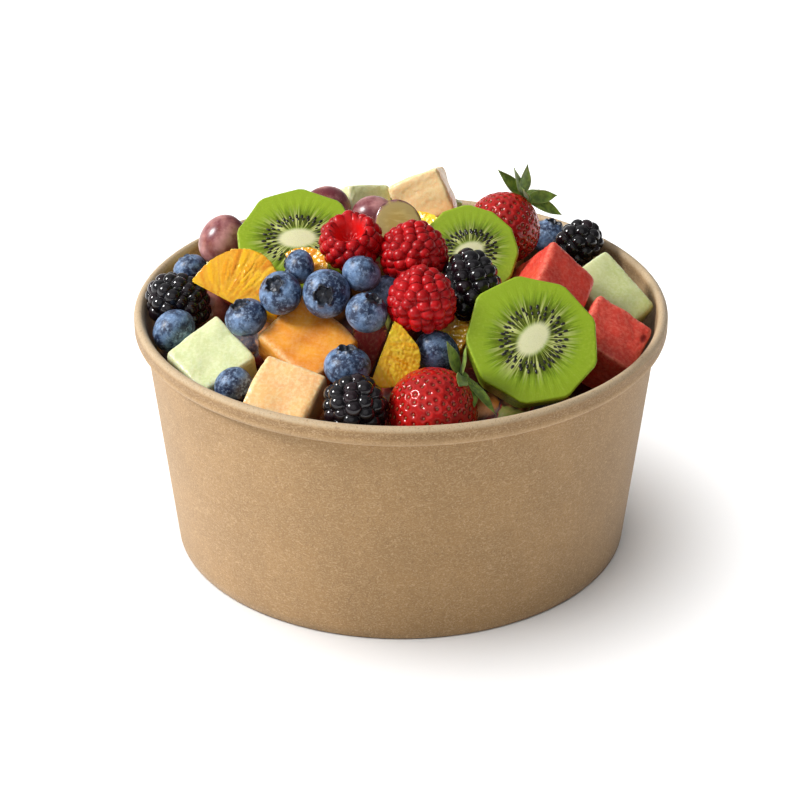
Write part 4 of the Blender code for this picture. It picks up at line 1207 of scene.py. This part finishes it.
def sac_pattern(points, draw):
    """Distances to the nearest and second sac's middle, in sac widths, and the nearest sac's tone.

    A sac's place is its fan angle, its height across the wedge as an angle, and its distance from a line
    behind the inner edge. The sacs stand in a jittered lattice of these three.
    """
    root = points[:, 0].min() - 6 * MM
    deep = np.hypot(points[:, 0] - root, points[:, 1])
    mean = deep.mean()
    places = np.stack([
        np.arctan2(points[:, 1], points[:, 0] - root) * mean / SAC_WIDTH,
        points[:, 2] / deep * mean / SAC_WIDTH,
        deep / SAC_LENGTH,
    ], 1)
    spans = zip(places.min(0) - 0.5, places.max(0) + 1.5)
    lattice = np.stack(np.meshgrid(*(np.arange(*span) for span in spans), indexing="ij"), -1).reshape(-1, 3)
    middles = lattice + draw.uniform(-0.55, 0.55, lattice.shape)
    middles[:, 2] += 0.5 * (np.floor(lattice[:, 0]) % 2)
    near, second, number = nearest_two(places, middles)
    return near, second, draw.uniform(0, 1, len(middles))[number]


def segment_points(node, turn, draw):
    """A wedge with plump sacs, thin creases between them, and a rough outer skin."""
    planes, distances, middle = node_planes(node, turn)
    ways = node_ways(node, turn, with_poles(ball_ways(*ball_angles(SEGMENT_ROWS, SEGMENT_COLUMNS))))
    reach, facing = rounded_reach(ways, planes, distances, SEGMENT_SHARPNESS)
    points = ways * reach[:, None] + middle
    near, second, tone = sac_pattern(points, draw)
    wall = 1 - smooth_step(second - near, 0.02, 0.30)
    skin = smooth_step(facing[:, 0], 0.45, 0.75)
    rough = ripples(points, 1.3 * MM, draw, 24)
    sacs = SAC_RISE * (1 - smooth_step(near, 0.1, 0.8)) - 0.05 * MM * wall + 0.05 * MM * rough
    rise = sacs * (1 - skin) + (0.13 * MM * rough + 0.14 * MM * ripples(points, 3 * MM, draw)) * skin
    points = points + facing * (rise - 0.2 * MM)[:, None]
    return points, {"tone": tone, "wall": wall, "skin": skin}


def orange_material():
    """Clear wet sacs from deep orange to yellow, pale walls, and a torn cream skin on the outer side."""
    material, tree, shader = new_material(
        "orange_flesh", roughness=0.20, specular_ior_level=0.30, coat_weight=0.3, coat_roughness=0.12,
        subsurface_weight=0.20, subsurface_radius=(1.0, 0.5, 0.05), subsurface_scale=2.2 * MM,
    )
    tone, wall, skin, pale = (attribute_of(tree, key) for key in ("tone", "wall", "skin", "pale"))
    fine = noise(tree, place_of(tree), 1.5, 4.0, 0.65)
    torn = noise(tree, place_of(tree), 0.45, 4.0, 0.7)
    deep = blended(tree, tone, (0.70, 0.19, 0.000), (0.98, 0.47, 0.000))
    yellow = blended(tree, tone, (0.92, 0.48, 0.004), (1.00, 0.80, 0.050))
    colour = blended(tree, pale, deep, yellow)
    colour = blended(tree, product(tree, wall, 0.36), colour, (0.95, 0.62, 0.06))
    colour = blended(tree, between(tree, fine, 0.60, 0.80, 0, 0.35), colour, (0.98, 0.66, 0.05))
    cream = blended(tree, between(tree, torn, 0.40, 0.60), (0.92, 0.48, 0.01), (0.94, 0.68, 0.20))
    colour = blended(tree, product(tree, skin, 0.85), colour, cream)
    surfaced(tree, shader, colour, fine, 0.12 * MM, 0.5)
    return material


orange_flesh = orange_material()
for i, (*facing, yellow) in enumerate(ORANGE_SEGMENTS):
    node = f"orange_segment_{i + 1}"
    turn = turned_to(*facing)
    points, values = segment_points(node, turn, np.random.default_rng(700 + i))
    values["pale"] = np.full(len(points), yellow)
    points = points @ turn.T + node_box(node)[0]
    faces = ball_faces(SEGMENT_ROWS, SEGMENT_COLUMNS)
    new_piece(f"{node}_sacs", points, faces, orange_flesh, [node], values)


# Half grape
# A grape cut lengthwise. The cut face shows clear olive flesh with pale veins inside a thin purple skin.
HALF_ROWS = 80
HALF_COLUMNS = 110
HALF_SHARPNESS = 34
HALF_FACING = (-85, 32, 20)  # bearing, rise and spin of the cut face


def half_grape_points(node, turn):
    """A half oval with a slightly crowned cut face.

    Gives how much each point is skin, and its distance out from the middle of the cut as a share.
    """
    planes, distances, middle = node_planes(node, turn)
    ways = with_poles(ball_ways(*ball_angles(HALF_ROWS, HALF_COLUMNS)))
    reach, facing = rounded_reach(ways, planes, distances, HALF_SHARPNESS)
    points = ways * reach[:, None] + middle
    edge = outline_reach(node_points(node, turn), np.arctan2(points[:, 1], points[:, 0]))
    out = np.hypot(points[:, 0], points[:, 1]) / edge
    cut = smooth_step(facing[:, 2], 0.6, 0.9)
    points[:, 2] += 0.25 * MM * cut * (1 - out**2) - 0.1 * MM
    return points, {"skin": np.maximum(1 - cut, smooth_step(out, 0.905, 0.945)), "out": out}


def grape_flesh_material():
    """Clear olive flesh, paler towards the middle, where veins run, inside a purple skin."""
    material, tree, shader = new_material(
        "grape_flesh", roughness=0.2, specular_ior_level=0.5, coat_weight=0.5, coat_roughness=0.08,
        subsurface_weight=0.35, subsurface_radius=(1.0, 0.8, 0.4), subsurface_scale=3 * MM,
    )
    veins = noise(tree, place_of(tree, (0.5, 1.0, 1.6)), 0.5, 3.0)
    bloom = noise(tree, place_of(tree), 0.5, 4.0, 0.65)
    colour = blended(tree, between(tree, veins, 0.40, 0.62), (0.52, 0.36, 0.070), (0.66, 0.50, 0.14))
    outwards = between(tree, attribute_of(tree, "out"), 0.25, 0.85)
    colour = blended(tree, outwards, colour, (0.50, 0.38, 0.12))
    rim = blended(tree, between(tree, bloom, 0.4, 0.65), (0.10, 0.018, 0.035), (0.26, 0.10, 0.14))
    colour = blended(tree, attribute_of(tree, "skin"), colour, rim)
    surfaced(tree, shader, colour, veins, 0.10 * MM, 0.5)
    return material


turn = turned_to(*HALF_FACING)
points, values = half_grape_points("grape_half", turn)
points = points @ turn.T + node_box("grape_half")[0]
faces = ball_faces(HALF_ROWS, HALF_COLUMNS)
grape_flesh = grape_flesh_material()
new_piece("grape_half_flesh", points, faces, grape_flesh, ["grape_half"], values)


# Fruit bed
# The lower layers of the heap, seen only in the gaps: wet pieces of many fruits pressed together, in shade.
BED_EDGE = 2.6 * MM  # the longest edge of its mesh
BED_PIECES = 1500  # middles drawn at random in its box, most of them off its surface
JOINT_WIDTH = 2.2 * MM
JOINT_DEPTH = 1.0 * MM


def bed_mesh():
    """The bed's solid with its loose triangles joined and their long edges halved, four times over."""
    bed = bmesh.new()
    bed.from_mesh(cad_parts["fruit_bed"].data)
    bmesh.ops.remove_doubles(bed, verts=bed.verts, dist=0.01 * MM)
    for _ in range(4):
        long_edges = [edge for edge in bed.edges if edge.calc_length() > BED_EDGE]
        bmesh.ops.subdivide_edges(bed, edges=long_edges, cuts=1)
        bmesh.ops.triangulate(bed, faces=[face for face in bed.faces if len(face.verts) > 3])
    bed.normal_update()
    points = np.array([corner.co for corner in bed.verts])
    facing = np.array([corner.normal for corner in bed.verts])
    faces = [[corner.index for corner in face.verts] for face in bed.faces]
    bed.free()
    return points, facing, faces


def bed_material():
    """Each pressed piece has one of six colours, with pale cells in it and dark joints round it, all wet,
    under a painted shade that darkens the whole bed.
    """
    material, tree, shader = new_material("bed_of_fruit", roughness=0.5, specular_ior_level=0.3)
    cells = noise(tree, place_of(tree), 0.9, 4.0, 0.65)
    ramp = add_node(tree, "ShaderNodeValToRGB", {"Fac": attribute_of(tree, "tone")})
    ramp.color_ramp.interpolation = "CONSTANT"
    stops = (
        (0.00, (0.36, 0.012, 0.010)), (0.24, (0.62, 0.22, 0.025)), (0.44, (0.020, 0.025, 0.060)),
        (0.58, (0.42, 0.030, 0.022)), (0.74, (0.30, 0.34, 0.06)), (0.86, (0.60, 0.30, 0.06)),
    )
    while len(ramp.color_ramp.elements) < len(stops):
        ramp.color_ramp.elements.new(0.5)
    for element, (place, shade) in zip(ramp.color_ramp.elements, stops):
        element.position = place
        element.color = (*shade, 1)
    pale_cells = between(tree, cells, 0.45, 0.75, 0, 0.35)
    # Painted shade darkens the whole bed by at least a third, and the dark joints go darker still.
    shade_and_joints = between(tree, attribute_of(tree, "wall"), 0, 1, 0.35, 0.95)
    colour = blended(tree, pale_cells, ramp.outputs["Color"], (0.75, 0.40, 0.20))
    colour = blended(tree, shade_and_joints, colour, (0.04, 0.009, 0.006))
    surfaced(tree, shader, colour, cells, 0.2 * MM, 0.6)
    return material


points, facing, faces = bed_mesh()
draw = np.random.default_rng(800)
middles = draw.uniform(points.min(0), points.max(0), (BED_PIECES, 3))
near, second, number = nearest_two(points, middles)
wall = 1 - smooth_step(second - near, 0, JOINT_WIDTH)
points = points - facing * (JOINT_DEPTH * wall + 0.1 * MM)[:, None]
values = {"tone": draw.uniform(0, 1, BED_PIECES)[number], "wall": wall}
new_piece("fruit_bed_pieces", points, faces, bed_material(), ["fruit_bed"], values)


# The room
# A pale table, a large window light from the left, a soft fill, and the camera.
FOCAL_LENGTH = 108.0  # millimetres on a 36 mm sensor
CAMERA_RISE = 28.17  # degrees above level
CAMERA_DISTANCE = 758.7 * MM
CAMERA_TARGET = Vector((-0.3 * MM, 0, 42.8 * MM))
BRIGHT_SIDE = (-0.85, 0.35, 0.40)  # the room is brightest this way, behind the bowl and to its left

table = new_material("white_table", base_color=(0.9, 0.9, 0.9, 1), roughness=0.9)[0]
table_mesh = bpy.data.meshes.new("table")
table_mesh.from_pydata([(-9, -9, 0), (9, -9, 0), (9, 9, 0), (-9, 9, 0)], [], [(0, 1, 2, 3)])
table_mesh.materials.append(table)
table_top = bpy.data.objects.new("table_top", table_mesh)
bpy.context.scene.collection.objects.link(table_top)

rise = math.radians(CAMERA_RISE)
camera = bpy.data.cameras.new("camera")
camera.lens = FOCAL_LENGTH
camera.sensor_width = 36
camera.clip_start = 0.05
camera_object = bpy.data.objects.new("camera", camera)
camera_object.location = CAMERA_TARGET + CAMERA_DISTANCE * Vector((0, -math.cos(rise), math.sin(rise)))
camera_object.rotation_euler = (math.pi / 2 - rise, 0, 0)
bpy.context.scene.collection.objects.link(camera_object)
bpy.context.scene.camera = camera_object

world = bpy.data.worlds.new("room")
world.use_nodes = True
tree = world.node_tree
walls = tree.nodes["Background"]
walls.inputs["Color"].default_value = (1.0, 1.0, 1.0, 1)
way = add_node(tree, "ShaderNodeTexCoord").outputs["Generated"]
nearness = add_node(tree, "ShaderNodeVectorMath", {0: way, 1: BRIGHT_SIDE}, operation="DOT_PRODUCT")
strength = between(tree, nearness.outputs["Value"], -0.5, 0.9, 0.13, 0.54)
tree.links.new(strength, walls.inputs["Strength"])
bpy.context.scene.world = world
table_light = bpy.data.collections.new("lit_by_the_sky_only")
table_light.objects.link(table_top)
other_light = bpy.data.collections.new("not_lit_by_the_window")
other_light.objects.link(table_top)
other_light.collection_objects[0].light_linking.link_state = "EXCLUDE"
# Each light: name, strength, size, bearing and height in degrees, and what it falls on
LIGHTS = (
    ("window", 3.5, 18, 184, 40, other_light),
    ("fill", 0.34, 60, -90, 45, other_light),
    ("sky", 4.5, 70, 165, 70, table_light),
)
for name, strength, size, bearing, height, receivers in LIGHTS:
    light = bpy.data.lights.new(name, "SUN")
    light.energy = strength
    light.angle = math.radians(size)
    lamp = bpy.data.objects.new(name, light)
    level = math.cos(math.radians(height))
    across = math.radians(bearing)
    towards = Vector((level * math.cos(across), level * math.sin(across), math.sin(math.radians(height))))
    lamp.rotation_euler = towards.to_track_quat("Z", "Y").to_euler()
    lamp.light_linking.receiver_collection = receivers
    bpy.context.scene.collection.objects.link(lamp)
bpy.context.scene.view_settings.view_transform = "Standard"
